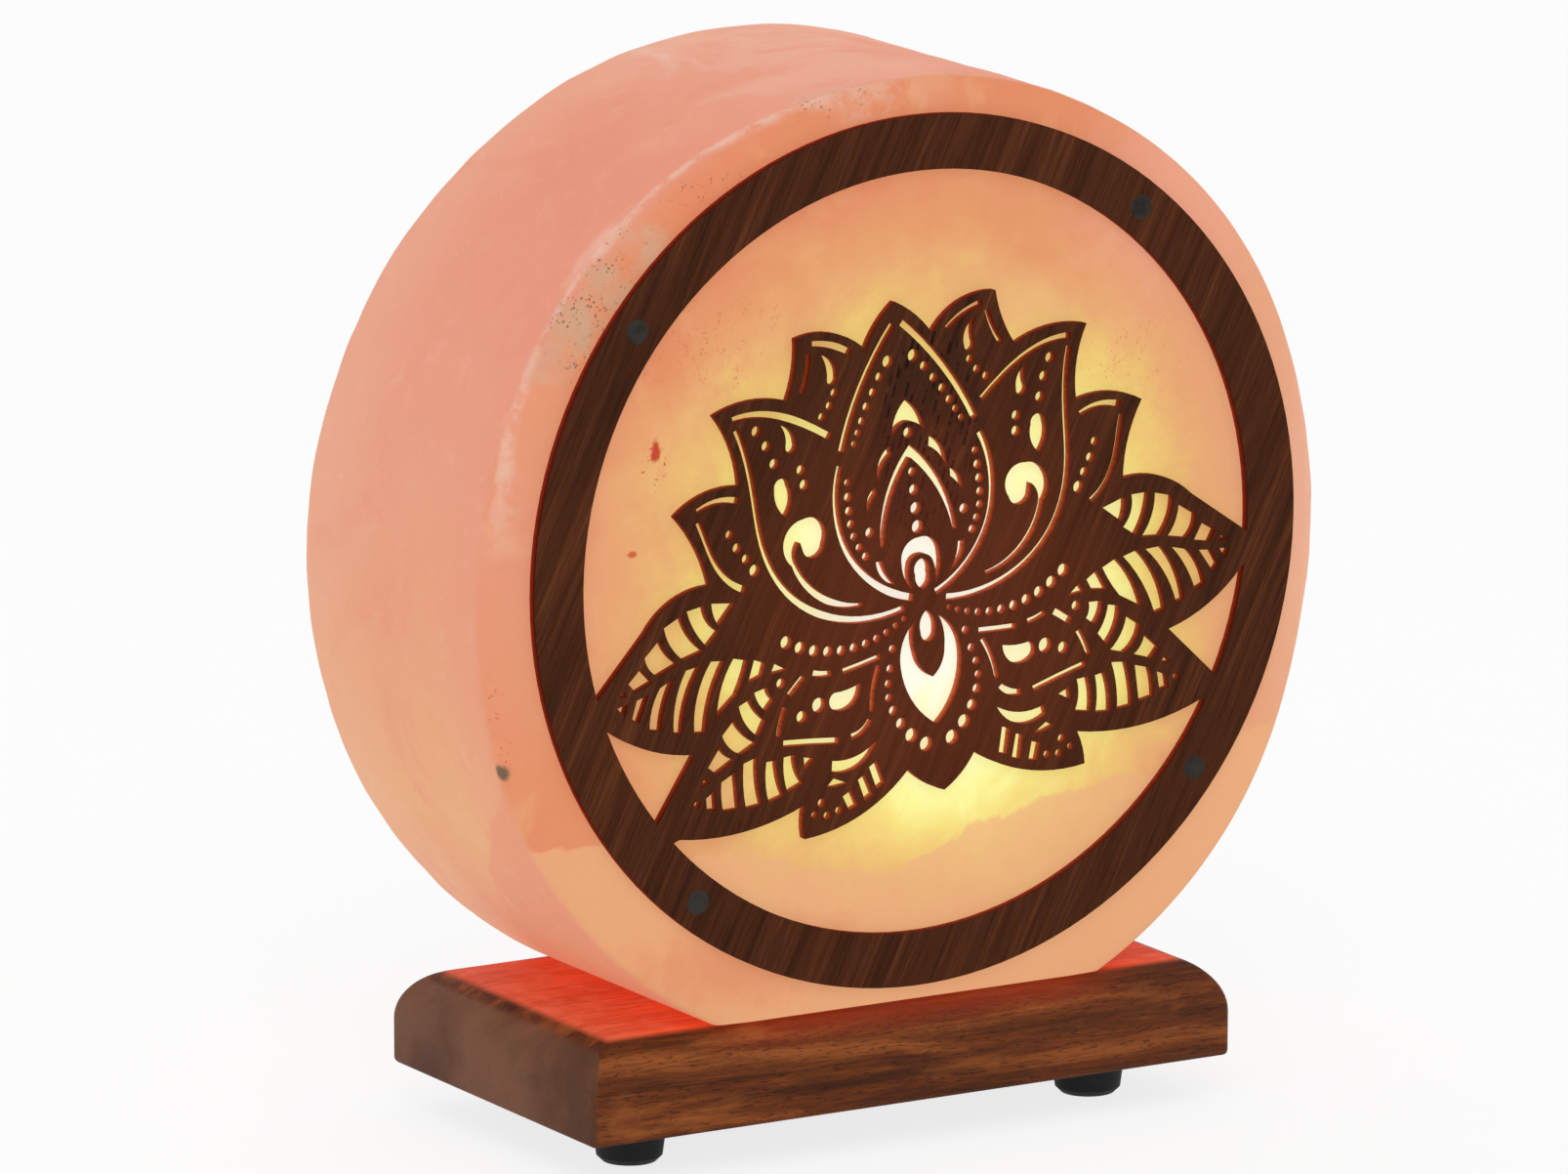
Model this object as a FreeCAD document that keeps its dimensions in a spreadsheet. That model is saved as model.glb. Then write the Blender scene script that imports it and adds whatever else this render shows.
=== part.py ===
import FreeCAD, Part
import Sketcher
import math
import os
import re

# A table lamp cut from rock salt: a flat-bottomed drum of salt stands on a wooden foot board with
# four rubber feet, and a thin fretwork panel with a lotus flower in a ring covers its front face.
# A small lamp holder slides up through the board into a bore in the salt and carries a tubular bulb.
# +Z is up, the panel faces -Y, X runs to the right. The origin is on the table, under the middle
# of the drum and of the board's depth. All lengths are millimetres, all angles degrees.

# ---------------------------------------------------------------- driving dimensions
DIMENSIONS = [
    ("base_length", 152.0, "foot board, left to right"),
    ("base_depth", 83.5, "foot board, front to back"),
    ("base_thick", 20.5, "foot board, thickness"),
    ("base_round", 11.0, "radius along the board's four top edges"),
    ("base_shift", 2.4, "how far the board's middle lies left of the drum's"),
    ("base_bore_gap", 6.5, "board's bore round the widest of bulb and holder"),
    ("cord_groove_width", 7.0, "groove under the board, from the bore to the rear edge"),
    ("cord_groove_depth", 7.0, "depth of that groove"),
    ("foot_height", 9.5, "rubber foot, table to board"),
    ("foot_top_radius", 7.9, "rubber foot, at the board"),
    ("foot_bottom_radius", 6.8, "rubber foot, at the table"),
    ("foot_round", 1.2, "radius round the foot's lower edge"),
    ("front_foot_inset", 21.0, "front foot centres from the board's ends"),
    ("rear_foot_inset", 27.5, "rear foot centres from the board's ends"),
    ("foot_side_inset", 22.0, "foot centre from the board's front or rear edge"),
    ("foot_recess_gap", 0.8, "screw recess in the foot, round the screw's head"),
    ("foot_recess_depth", 5.0, "depth of that recess"),
    ("foot_washer_thick", 1.0, "steel washer in the foot"),
    ("foot_screw_radius", 1.75, "foot screw shank"),
    ("foot_screw_head_radius", 3.4, "foot screw head"),
    ("foot_screw_head", 2.0, "foot screw head height"),
    ("foot_screw_grip", 12.0, "foot screw's depth in the board"),
    ("salt_radius", 101.5, "salt drum"),
    ("salt_depth", 74.5, "salt drum, front to back"),
    ("salt_centre_height", 89.5, "drum centre above the board"),
    ("salt_front_margin", 5.2, "drum's front face behind the board's front edge"),
    ("salt_edge_round", 3.0, "radius along the drum's rims"),
    ("salt_bore_gap", 7.5, "salt's bore round the widest of bulb and holder"),
    ("bulb_headroom", 7.5, "free height of that bore above the bulb"),
    ("chip_angle", 135.5, "place of the broken rim facet, from the right, anticlockwise"),
    ("chip_reach", 4.0, "width of the facet on the front face"),
    ("chip_depth", 9.0, "width of the facet on the rim"),
    ("base_screw_spread", 32.0, "board screws, left and right of the drum's middle"),
    ("base_screw_side", 20.0, "board screws, in front of and behind the board's middle"),
    ("base_screw_radius", 2.2, "board screw shank"),
    ("base_screw_head_radius", 4.2, "board screw head"),
    ("base_screw_head", 2.8, "board screw head height"),
    ("base_screw_sink", 10.0, "depth of the board screws' counterbores"),
    ("base_screw_gap", 1.0, "gap round a board screw's head"),
    ("plug_radius", 4.0, "anchor plug in the salt"),
    ("plug_length", 32.0, "anchor plug, length"),
    ("plug_spare", 4.0, "plug left free beyond the screw's end"),
    ("panel_thick", 2.0, "fretwork panel"),
    ("ring_outer_radius", 90.0, "panel's ring, outside"),
    ("ring_inner_radius", 78.75, "panel's ring, inside"),
    ("ring_centre_height", 93.2, "ring centre above the board"),
    ("panel_tilt", 6.75, "panel turned anticlockwise, seen from the front"),
    ("panel_screw_head_radius", 2.5, "panel screw, countersunk head"),
    ("panel_screw_radius", 1.4, "panel screw, shank"),
    ("panel_screw_length", 15.0, "panel screw, overall"),
    ("holder_recess", 2.0, "holder's lower end above the board's underside"),
    ("cap_length", 17.0, "lower cap of the holder"),
    ("body_length", 31.0, "body of the holder"),
    ("body_wall", 4.1, "wall of the holder's body"),
    ("cap_wall", 1.8, "wall of the lower cap"),
    ("cord_inlet_radius", 3.6, "cord inlet in the lower cap"),
    ("body_bore_gap", 0.7, "bore of the holder's body round the threaded sleeve"),
    ("spigot_length", 3.0, "spigot of the body inside the cap"),
    ("fit_gap", 0.1, "gap between pieces that slide into one another"),
    ("insulator_thick", 5.0, "insulating block under the sleeve"),
    ("sleeve_thick", 0.5, "threaded sleeve's sheet"),
    ("sleeve_length", 19.0, "threaded sleeve, length"),
    ("sleeve_gap", 0.25, "gap between the bulb's cap and the sleeve"),
    ("contact_thick", 0.6, "contact strips"),
    ("contact_width", 4.0, "contact strips, width"),
    ("contact_rise", 4.5, "centre contact's height above the insulating block"),
    ("terminal_radius", 1.5, "terminal screws, shank"),
    ("terminal_head_radius", 2.4, "terminal screws, head"),
    ("terminal_head", 1.6, "terminal screws, head height"),
    ("terminal_gap", 0.8, "terminal screws' heads off the body's bore"),
    ("clip_gap", 0.3, "spring clips' widest corners off the board's bore"),
    ("clip_thick", 0.7, "spring clips' strip"),
    ("clip_width", 8.0, "spring clips' width"),
    ("clip_upper_end", 9.0, "clips' upper end above the body's foot"),
    ("clip_bend", 1.5, "clips' bend above the body's foot"),
    ("clip_drop", 7.0, "clips' widest point below the body's foot"),
    ("clip_lower_end", 15.0, "clips' lower end below the body's foot"),
    ("clip_toe_gap", 1.0, "clips' lower end off the cap"),
    ("clip_rivet_radius", 1.5, "clip rivet shank"),
    ("clip_rivet_rise", 5.0, "clip rivet above the body's foot"),
    ("clip_rivet_depth", 3.0, "clip rivet's depth in the body's wall"),
    ("clip_rivet_head_radius", 2.4, "clip rivet head"),
    ("clip_rivet_head", 0.8, "clip rivet head height"),
    ("bulb_radius", 12.5, "tubular bulb"),
    ("bulb_length", 84.5, "bulb, contact to crown"),
    ("bulb_wall", 0.7, "bulb's glass"),
    ("bulb_neck_gap", 0.35, "bulb's neck off the inside of its cap"),
    ("bulb_shoulder", 7.0, "height of the bulb's shoulder"),
    ("bulb_cap_radius", 6.95, "bulb's screw cap"),
    ("bulb_cap_wall", 0.4, "screw cap's sheet"),
    ("bulb_cap_length", 17.0, "screw cap"),
    ("bulb_neck_start", 5.0, "neck's lower end above the screw cap's"),
    ("bulb_foot_length", 2.6, "black foot under the screw cap"),
    ("bulb_tip_radius", 2.4, "solder tip"),
    ("bulb_tip_length", 1.2, "solder tip, height"),
    ("stem_radius", 2.4, "glass stem in the bulb"),
    ("stem_flare_thick", 1.5, "stem's foot in the neck"),
    ("stem_length", 24.0, "glass stem, height above the cap"),
    ("lead_spread", 5.0, "lead wires, at the filament"),
    ("lead_radius", 0.35, "lead wires"),
    ("filament_drop", 22.7, "filament below the bulb's crown"),
    ("filament_radius", 0.45, "coiled filament, as one rod"),
]

doc = FreeCAD.newDocument("salt_lamp")
sizes = doc.addObject("Spreadsheet::Sheet", "sizes")
for row, (alias, length, note) in enumerate(DIMENSIONS, start=1):
    sizes.set(f"A{row}", note)
    sizes.set(f"B{row}", str(length))
    sizes.setAlias(f"B{row}", alias)
doc.recompute()

ALIASES = {alias for alias, length, note in DIMENSIONS}
subparts = []

# Places that several pieces share, as expressions of the sheet's cells.
BOARD_TOP = "foot_height + base_thick"
SALT_FRONT = "salt_front_margin - base_depth / 2"
HOLDER_X = "-base_shift"
SLEEVE_BORE = "(bulb_cap_radius + sleeve_gap)"
BODY_BORE = f"({SLEEVE_BORE} + sleeve_thick + body_bore_gap)"
HOLDER_RADIUS = f"({BODY_BORE} + body_wall)"
WIDEST = f"max({HOLDER_RADIUS}; bulb_radius)"
BOARD_BORE = f"({WIDEST} + base_bore_gap)"
SALT_BORE = f"({WIDEST} + salt_bore_gap)"
TERMINAL_SPREAD = f"({BODY_BORE} - terminal_gap - terminal_head_radius)"
FOOT_RECESS = "(foot_screw_head_radius + foot_recess_gap)"
CAP_BOTTOM = "foot_height + holder_recess"
BODY_BOTTOM = f"{CAP_BOTTOM} + cap_length"
INSULATOR_TOP = f"{BODY_BOTTOM} + insulator_thick"
BULB_BOTTOM = f"{INSULATOR_TOP} + contact_rise"
BULB_CAP_BOTTOM = f"{BULB_BOTTOM} + bulb_tip_length + bulb_foot_length"
BULB_CAP_TOP = f"{BULB_CAP_BOTTOM} + bulb_cap_length"
BULB_TOP = f"{BULB_BOTTOM} + bulb_length"
STEM_TOP = f"{BULB_CAP_TOP} + stem_length"
FILAMENT_HEIGHT = f"{BULB_TOP} - filament_drop"


# ---------------------------------------------------------------- helpers
def size(text):
    """The number that an expression of the sheet's cells comes to."""
    return float(sizes.evalExpression(text))


def sized(text):
    """The expression with the sheet's name in front of each of its cells' names."""
    return re.sub(r"[a-z_]+", lambda word: ("sizes." if word[0] in ALIASES else "") + word[0], text)


def bind(obj, name, text):
    """Tie one property of obj to an expression of the sheet's cells."""
    obj.setExpression(name, sized(text))


def place(obj, x="0", y="0", z="0"):
    """Tie the place of obj's own origin to three expressions."""
    bind(obj, "Placement.Base.x", x)
    bind(obj, "Placement.Base.y", y)
    bind(obj, "Placement.Base.z", z)
    return obj


def turned(obj, axis, angle):
    """Turn obj about an axis through its own origin."""
    obj.Placement = FreeCAD.Placement(FreeCAD.Vector(), FreeCAD.Rotation(axis, angle))
    return obj


def cylinder(name, radius, height, x="0", y="0", z="0"):
    """An upright cylinder on the point (x, y, z)."""
    obj = doc.addObject("Part::Cylinder", name)
    bind(obj, "Radius", radius)
    bind(obj, "Height", height)
    return place(obj, x, y, z)


def cone(name, lower, upper, height, x="0", y="0", z="0"):
    """An upright cone frustum on the point (x, y, z)."""
    obj = doc.addObject("Part::Cone", name)
    bind(obj, "Radius1", lower)
    bind(obj, "Radius2", upper)
    bind(obj, "Height", height)
    return place(obj, x, y, z)


def ball(name, radius, x="0", y="0", z="0"):
    """A whole sphere round the point (x, y, z)."""
    obj = doc.addObject("Part::Sphere", name)
    bind(obj, "Radius", radius)
    return place(obj, x, y, z)


def box(name, length, width, height, x="0", y="0", z="0"):
    """An upright box with its low corner at (x, y, z)."""
    obj = doc.addObject("Part::Box", name)
    bind(obj, "Length", length)
    bind(obj, "Width", width)
    bind(obj, "Height", height)
    return place(obj, x, y, z)


def fused(name, pieces):
    """One solid from several."""
    obj = doc.addObject("Part::MultiFuse", name)
    obj.Shapes = pieces
    return obj


def less(name, base, tools):
    """base with every tool cut away."""
    tool = tools[0] if len(tools) == 1 else fused(name + "_tools", tools)
    obj = doc.addObject("Part::Cut", name)
    obj.Base = base
    obj.Tool = tool
    return obj


def group(name, pieces):
    """Several separate solids in one object."""
    obj = doc.addObject("Part::Compound", name)
    obj.Links = pieces
    return obj


def subpart(name, obj):
    """Keep obj as the finished piece of that name."""
    obj.Label = name
    subparts.append(obj)
    return obj


def revolved(name, profile, x="0", y="0", z="0"):
    """A body turned about its own upright axis from straight lines through (radius, height) points."""
    body = doc.addObject("PartDesign::Body", name)
    plane = next(part for part in body.Origin.OriginFeatures if part.Role == "XZ_Plane")
    sketch = body.newObject("Sketcher::SketchObject", name + "_profile")
    sketch.AttachmentSupport = (plane, [""])
    sketch.MapMode = "FlatFace"
    count = len(profile)
    start = [FreeCAD.Vector(10 + 5 * math.cos(6.28 * k / count), 5 * math.sin(6.28 * k / count), 0)
             for k in range(count)]
    for k in range(count):
        sketch.addGeometry(Part.LineSegment(start[k], start[(k + 1) % count]), False)
    for k in range(count):
        sketch.addConstraint(Sketcher.Constraint("Coincident", k, 2, (k + 1) % count, 1))
    for k, (radius, height) in enumerate(profile):
        if radius == "0":
            sketch.addConstraint(Sketcher.Constraint("PointOnObject", k, 1, -2))
        else:
            sketch.addConstraint(Sketcher.Constraint("DistanceX", -1, 1, k, 1, 1.0))
            bind(sketch, f"Constraints[{sketch.ConstraintCount - 1}]", radius)
        if height == "0":
            sketch.addConstraint(Sketcher.Constraint("PointOnObject", k, 1, -1))
        else:
            sketch.addConstraint(Sketcher.Constraint("DistanceY", -1, 1, k, 1, 1.0))
            bind(sketch, f"Constraints[{sketch.ConstraintCount - 1}]", height)
    turn = body.newObject("PartDesign::Revolution", name + "_turn")
    turn.Profile = sketch
    turn.ReferenceAxis = (sketch, ["V_Axis"])
    turn.Angle = 360
    return place(body, x, y, z)


def strip(points, thickness, width):
    """A bent strip through (distance, height) points, of that thickness, centred across its width."""
    sides = ([], [])
    for k, (r, z) in enumerate(points):
        before = points[max(k - 1, 0)]
        after = points[min(k + 1, len(points) - 1)]
        normals = []
        for (r0, z0), (r1, z1) in ((before, (r, z)), ((r, z), after)):
            length = math.hypot(r1 - r0, z1 - z0)
            if length > 0:
                normals.append(((z0 - z1) / length, (r1 - r0) / length))
        nr = sum(n[0] for n in normals) / len(normals)
        nz = sum(n[1] for n in normals) / len(normals)
        mitre = nr * nr + nz * nz
        for side, sign in zip(sides, (0.5, -0.5)):
            shift = sign * thickness / mitre
            side.append(FreeCAD.Vector(-width / 2, r + shift * nr, z + shift * nz))
    corners = sides[0] + sides[1][::-1]
    wire = Part.makePolygon(corners + corners[:1])
    return Part.Face(wire).extrude(FreeCAD.Vector(width, 0, 0))


# ---------------------------------------------------------------- foot board
def made_foot_board():
    """The board, its top edges rounded, with bore, cord groove and screw holes cut from below."""
    blank = box("board_blank", "base_length", "base_depth", "base_thick",
                "-base_shift - base_length / 2", "-base_depth / 2", "foot_height")
    doc.recompute()
    top = size(BOARD_TOP)
    rounded = doc.addObject("Part::Fillet", "board_rounded")
    rounded.Base = blank
    radius = size("base_round")
    rounded.Edges = [(k, radius, radius) for k, edge in enumerate(blank.Shape.Edges, start=1)
                     if all(abs(vertex.Z - top) < 1e-6 for vertex in edge.Vertexes)]
    tools = [
        cylinder("board_bore", BOARD_BORE, "base_thick + 2", HOLDER_X, "0", "foot_height - 1"),
        box("cord_groove", "cord_groove_width", "base_depth / 2 + 1", "cord_groove_depth + 1",
            f"{HOLDER_X} - cord_groove_width / 2", "0", "foot_height - 1"),
    ]
    for k, (x, y) in enumerate(BOARD_SCREWS):
        tools.append(cylinder(f"board_hole_{k}", "base_screw_radius", "base_thick + 2", x, y,
                              "foot_height - 1"))
        tools.append(cylinder(f"board_counterbore_{k}", "base_screw_head_radius + base_screw_gap",
                              "base_screw_sink + 1", x, y, "foot_height - 1"))
    for k, (x, y) in enumerate(FEET.values()):
        tools.append(cylinder(f"foot_hole_{k}", "foot_screw_radius", "foot_screw_grip", x, y,
                              "foot_height"))
    return less("board", rounded, tools)


FRONT_FOOT_ACROSS = "(base_length / 2 - front_foot_inset)"
REAR_FOOT_ACROSS = "(base_length / 2 - rear_foot_inset)"
FOOT_BACK = "(base_depth / 2 - foot_side_inset)"
FEET = {
    "foot_front_left": (f"{HOLDER_X} - {FRONT_FOOT_ACROSS}", f"-1 * {FOOT_BACK}"),
    "foot_front_right": (f"{HOLDER_X} + {FRONT_FOOT_ACROSS}", f"-1 * {FOOT_BACK}"),
    "foot_rear_left": (f"{HOLDER_X} - {REAR_FOOT_ACROSS}", FOOT_BACK),
    "foot_rear_right": (f"{HOLDER_X} + {REAR_FOOT_ACROSS}", FOOT_BACK),
}
BOARD_SCREWS = [(f"{x}base_screw_spread", f"{y}base_screw_side") for x in ("-", "") for y in ("-", "")]

subpart("wood_base", made_foot_board())

# ---------------------------------------------------------------- feet
for foot_name, (foot_x, foot_y) in FEET.items():
    foot = revolved(foot_name, [
        (FOOT_RECESS, "0"),
        ("foot_bottom_radius - foot_round", "0"),
        ("foot_bottom_radius", "foot_round"),
        ("foot_top_radius", "foot_height"),
        ("foot_screw_radius", "foot_height"),
        ("foot_screw_radius", "foot_recess_depth"),
        (FOOT_RECESS, "foot_recess_depth"),
    ], foot_x, foot_y)
    subpart(foot_name, foot)

foot_washers = []
foot_screws = []
WASHER_LOW = "foot_recess_depth - foot_washer_thick"
for k, (foot_x, foot_y) in enumerate(FEET.values()):
    disc = cylinder(f"foot_washer_disc_{k}", FOOT_RECESS, "foot_washer_thick", foot_x, foot_y,
                    WASHER_LOW)
    hole = cylinder(f"foot_washer_hole_{k}", "foot_screw_radius", "foot_washer_thick", foot_x, foot_y,
                    WASHER_LOW)
    foot_washers.append(less(f"foot_washer_{k}", disc, [hole]))
    head = cylinder(f"foot_screw_top_{k}", "foot_screw_head_radius", "foot_screw_head", foot_x, foot_y,
                    f"{WASHER_LOW} - foot_screw_head")
    shank = cylinder(f"foot_screw_shank_{k}", "foot_screw_radius",
                     "foot_height + foot_screw_grip - foot_recess_depth + foot_washer_thick",
                     foot_x, foot_y, WASHER_LOW)
    foot_screws.append(fused(f"foot_screw_{k}", [head, shank]))
subpart("foot_washers", group("foot_washer_set", foot_washers))
subpart("foot_screws", group("foot_screw_set", foot_screws))


# ---------------------------------------------------------------- salt drum
SALT_CENTRE = f"{BOARD_TOP} + salt_centre_height"
PANEL_CENTRE = f"{BOARD_TOP} + ring_centre_height"
PANEL_SCREW_ANGLES = [45, 135, 225, 315]


def panel_point(radius, angle, y):
    """A world point of the tilted panel, at an angle from its own right-hand side."""
    turn = math.radians(angle + size("panel_tilt"))
    centre = size(PANEL_CENTRE)
    return FreeCAD.Vector(radius * math.cos(turn), y, centre + radius * math.sin(turn))


def towards_salt(name, shape, at):
    """A solid of revolution, drawn upright on the origin, laid down to point into the salt at a point."""
    obj = doc.addObject("Part::Feature", name)
    obj.Shape = shape
    obj.Placement = FreeCAD.Placement(at, FreeCAD.Rotation(FreeCAD.Vector(1, 0, 0), -90))
    return obj


def broken_facet():
    """A block whose underside is the plane where a piece of the front rim has broken away."""
    turn = math.radians(size("chip_angle"))
    out = FreeCAD.Vector(math.cos(turn), 0, math.sin(turn))
    along = FreeCAD.Vector(-math.sin(turn), 0, math.cos(turn))
    front = FreeCAD.Vector(0, -1, 0)
    reach, depth = size("chip_reach"), size("chip_depth")
    normal = (out * depth + front * reach).normalize()
    across = normal.cross(along)
    centre = FreeCAD.Vector(0, size(SALT_FRONT), size(SALT_CENTRE))
    half = size("salt_radius")
    corner = centre + out * (half - reach) - along * half - across * half
    block = doc.addObject("Part::Feature", "broken_facet")
    block.Shape = Part.makeBox(2 * half, 2 * half, half)
    block.Placement = FreeCAD.Placement(corner, FreeCAD.Rotation(along, across, normal, "ZXY"))
    return block


def made_salt_drum():
    """The drum, flat underneath, with its rims rounded and one broken, the bulb's bore and screw holes."""
    disc = turned(cylinder("salt_disc", "salt_radius", "salt_depth"), FreeCAD.Vector(1, 0, 0), -90)
    place(disc, "0", SALT_FRONT, SALT_CENTRE)
    below = box("salt_below", "2 * salt_radius", "salt_depth + 2", "salt_radius",
                "-salt_radius", f"{SALT_FRONT} - 1", f"{BOARD_TOP} - salt_radius")
    flat = less("salt_flat", disc, [below])
    doc.recompute()
    rounded = doc.addObject("Part::Fillet", "salt_rounded")
    rounded.Base = flat
    radius = size("salt_edge_round")
    rounded.Edges = [(k, radius, radius) for k, edge in enumerate(flat.Shape.Edges, start=1)
                     if edge.Curve.TypeId == "Part::GeomCircle"]
    tools = [
        broken_facet(),
        cylinder("salt_bore", SALT_BORE, f"{BULB_TOP} + bulb_headroom - ({BOARD_TOP}) + 1", HOLDER_X, "0",
                 f"{BOARD_TOP} - 1"),
    ]
    for k, (x, y) in enumerate(BOARD_SCREWS):
        tools.append(cylinder(f"plug_hole_{k}", "plug_radius", "plug_length + 1", x, y,
                              f"{BOARD_TOP} - 1"))
    y = size(SALT_FRONT)
    length = size("panel_screw_length - panel_thick")
    for k, angle in enumerate(PANEL_SCREW_ANGLES):
        hole = Part.makeCylinder(size("panel_screw_radius"), length)
        tools.append(towards_salt(f"panel_screw_hole_{k}", hole, panel_point(PIN_CIRCLE, angle, y)))
    return less("salt", rounded, tools)


PIN_CIRCLE = size("(ring_outer_radius + ring_inner_radius) / 2")
subpart("salt_drum", made_salt_drum())

# ---------------------------------------------------------------- board screws and their plugs
board_screws = []
salt_plugs = []
for k, (x, y) in enumerate(BOARD_SCREWS):
    low = "foot_height + base_screw_sink"
    head = cylinder(f"board_screw_top_{k}", "base_screw_head_radius", "base_screw_head", x, y,
                    f"{low} - base_screw_head")
    shank = cylinder(f"board_screw_shank_{k}", "base_screw_radius",
                     "base_thick - base_screw_sink + plug_length - plug_spare", x, y, low)
    board_screws.append(fused(f"board_screw_{k}", [head, shank]))
    plug = cylinder(f"plug_blank_{k}", "plug_radius", "plug_length", x, y, BOARD_TOP)
    core = cylinder(f"plug_core_{k}", "base_screw_radius", "plug_length - plug_spare", x, y, BOARD_TOP)
    salt_plugs.append(less(f"plug_{k}", plug, [core]))
subpart("base_screws", group("base_screw_set", board_screws))
subpart("salt_plugs", group("salt_plug_set", salt_plugs))

# ---------------------------------------------------------------- fretwork panel
# The drawing is symmetrical about x = 0 and is given on a ring of this inner radius, seen from the
# front, from the ring's centre. In an outline, two numbers (x, z) are a corner and four numbers
# (via_x, via_z, x, z) are an arc to (x, z) through the via point. Only the right half is given.
DRAWN_RING = 78.75

# The flower's outer edge from its top point, over the petals' tips and the leaves, to its lowest
# point. Where it leaves the ring's opening it runs on inside the ring.
SILHOUETTE = [
    (0, 52.8), (4.6, 49.0, 7.9, 44.5), (15.3, 49.6, 23.6, 50.1), (24.5, 44.2, 27.0, 38.0),
    (36.0, 39.9, 44.2, 38.6), (40.9, 31.2, 40.0, 23.2), (48.0, 23.3, 55.5, 20.1),
    (51.3, 12.6, 49.2, 4.5), (57.5, 3.4, 65.0, -2.0), (80.5, -15.6), (79.5, -18.0),
    (75.6, -20.1), (66.5, -26.2, 56.7, -29.2), (69.0, -44.0), (66.0, -46.8), (62.4, -45.8),
    (46.0, -47.7, 32.6, -45.5), (33.5, -49.0, 33.6, -52.6), (19.3, -50.5, 7.9, -43.9),
    (4.3, -47.6, 0, -50.2),
]

# Openings on the axis of symmetry, right half from top to bottom.
AXIS_OPENINGS = [
    [(0, 32.4), (2.9, 29.0, 4.0, 24.7), (2.4, 26.8, 0, 27.7)],
    [(0, 23.0), (5.9, 15.4, 9.2, 3.2), (8.1, 3.3), (4.2, 14.6, 0, 20.1)],
    [(0, 3.4), (3.3, 2.3, 4.65, -1.2), (4.2, -4.6, 2.5, -7.3), (3.1, -4.4, 2.7, -2.0),
     (1.6, -0.6, 0, -0.2)],
    [(0, -1.1), (1.3, -1.8, 1.75, -4.2), (1.3, -6.6, 0, -7.6)],
    [(0, -12.0), (1.4, -13.4, 1.85, -16.2), (1.2, -18.1, 0, -18.7)],
]

# The large drop below the flower, as two halves that meet at its point.
DROP_OPENING = [
    [(0, -36.2), (5.6, -29.6, 7.3, -22.6), (6.2, -17.4, 2.7, -13.5), (3.6, -17.0, 3.4, -20.4),
     (2.3, -23.8, 0, -26.1)],
]

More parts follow.
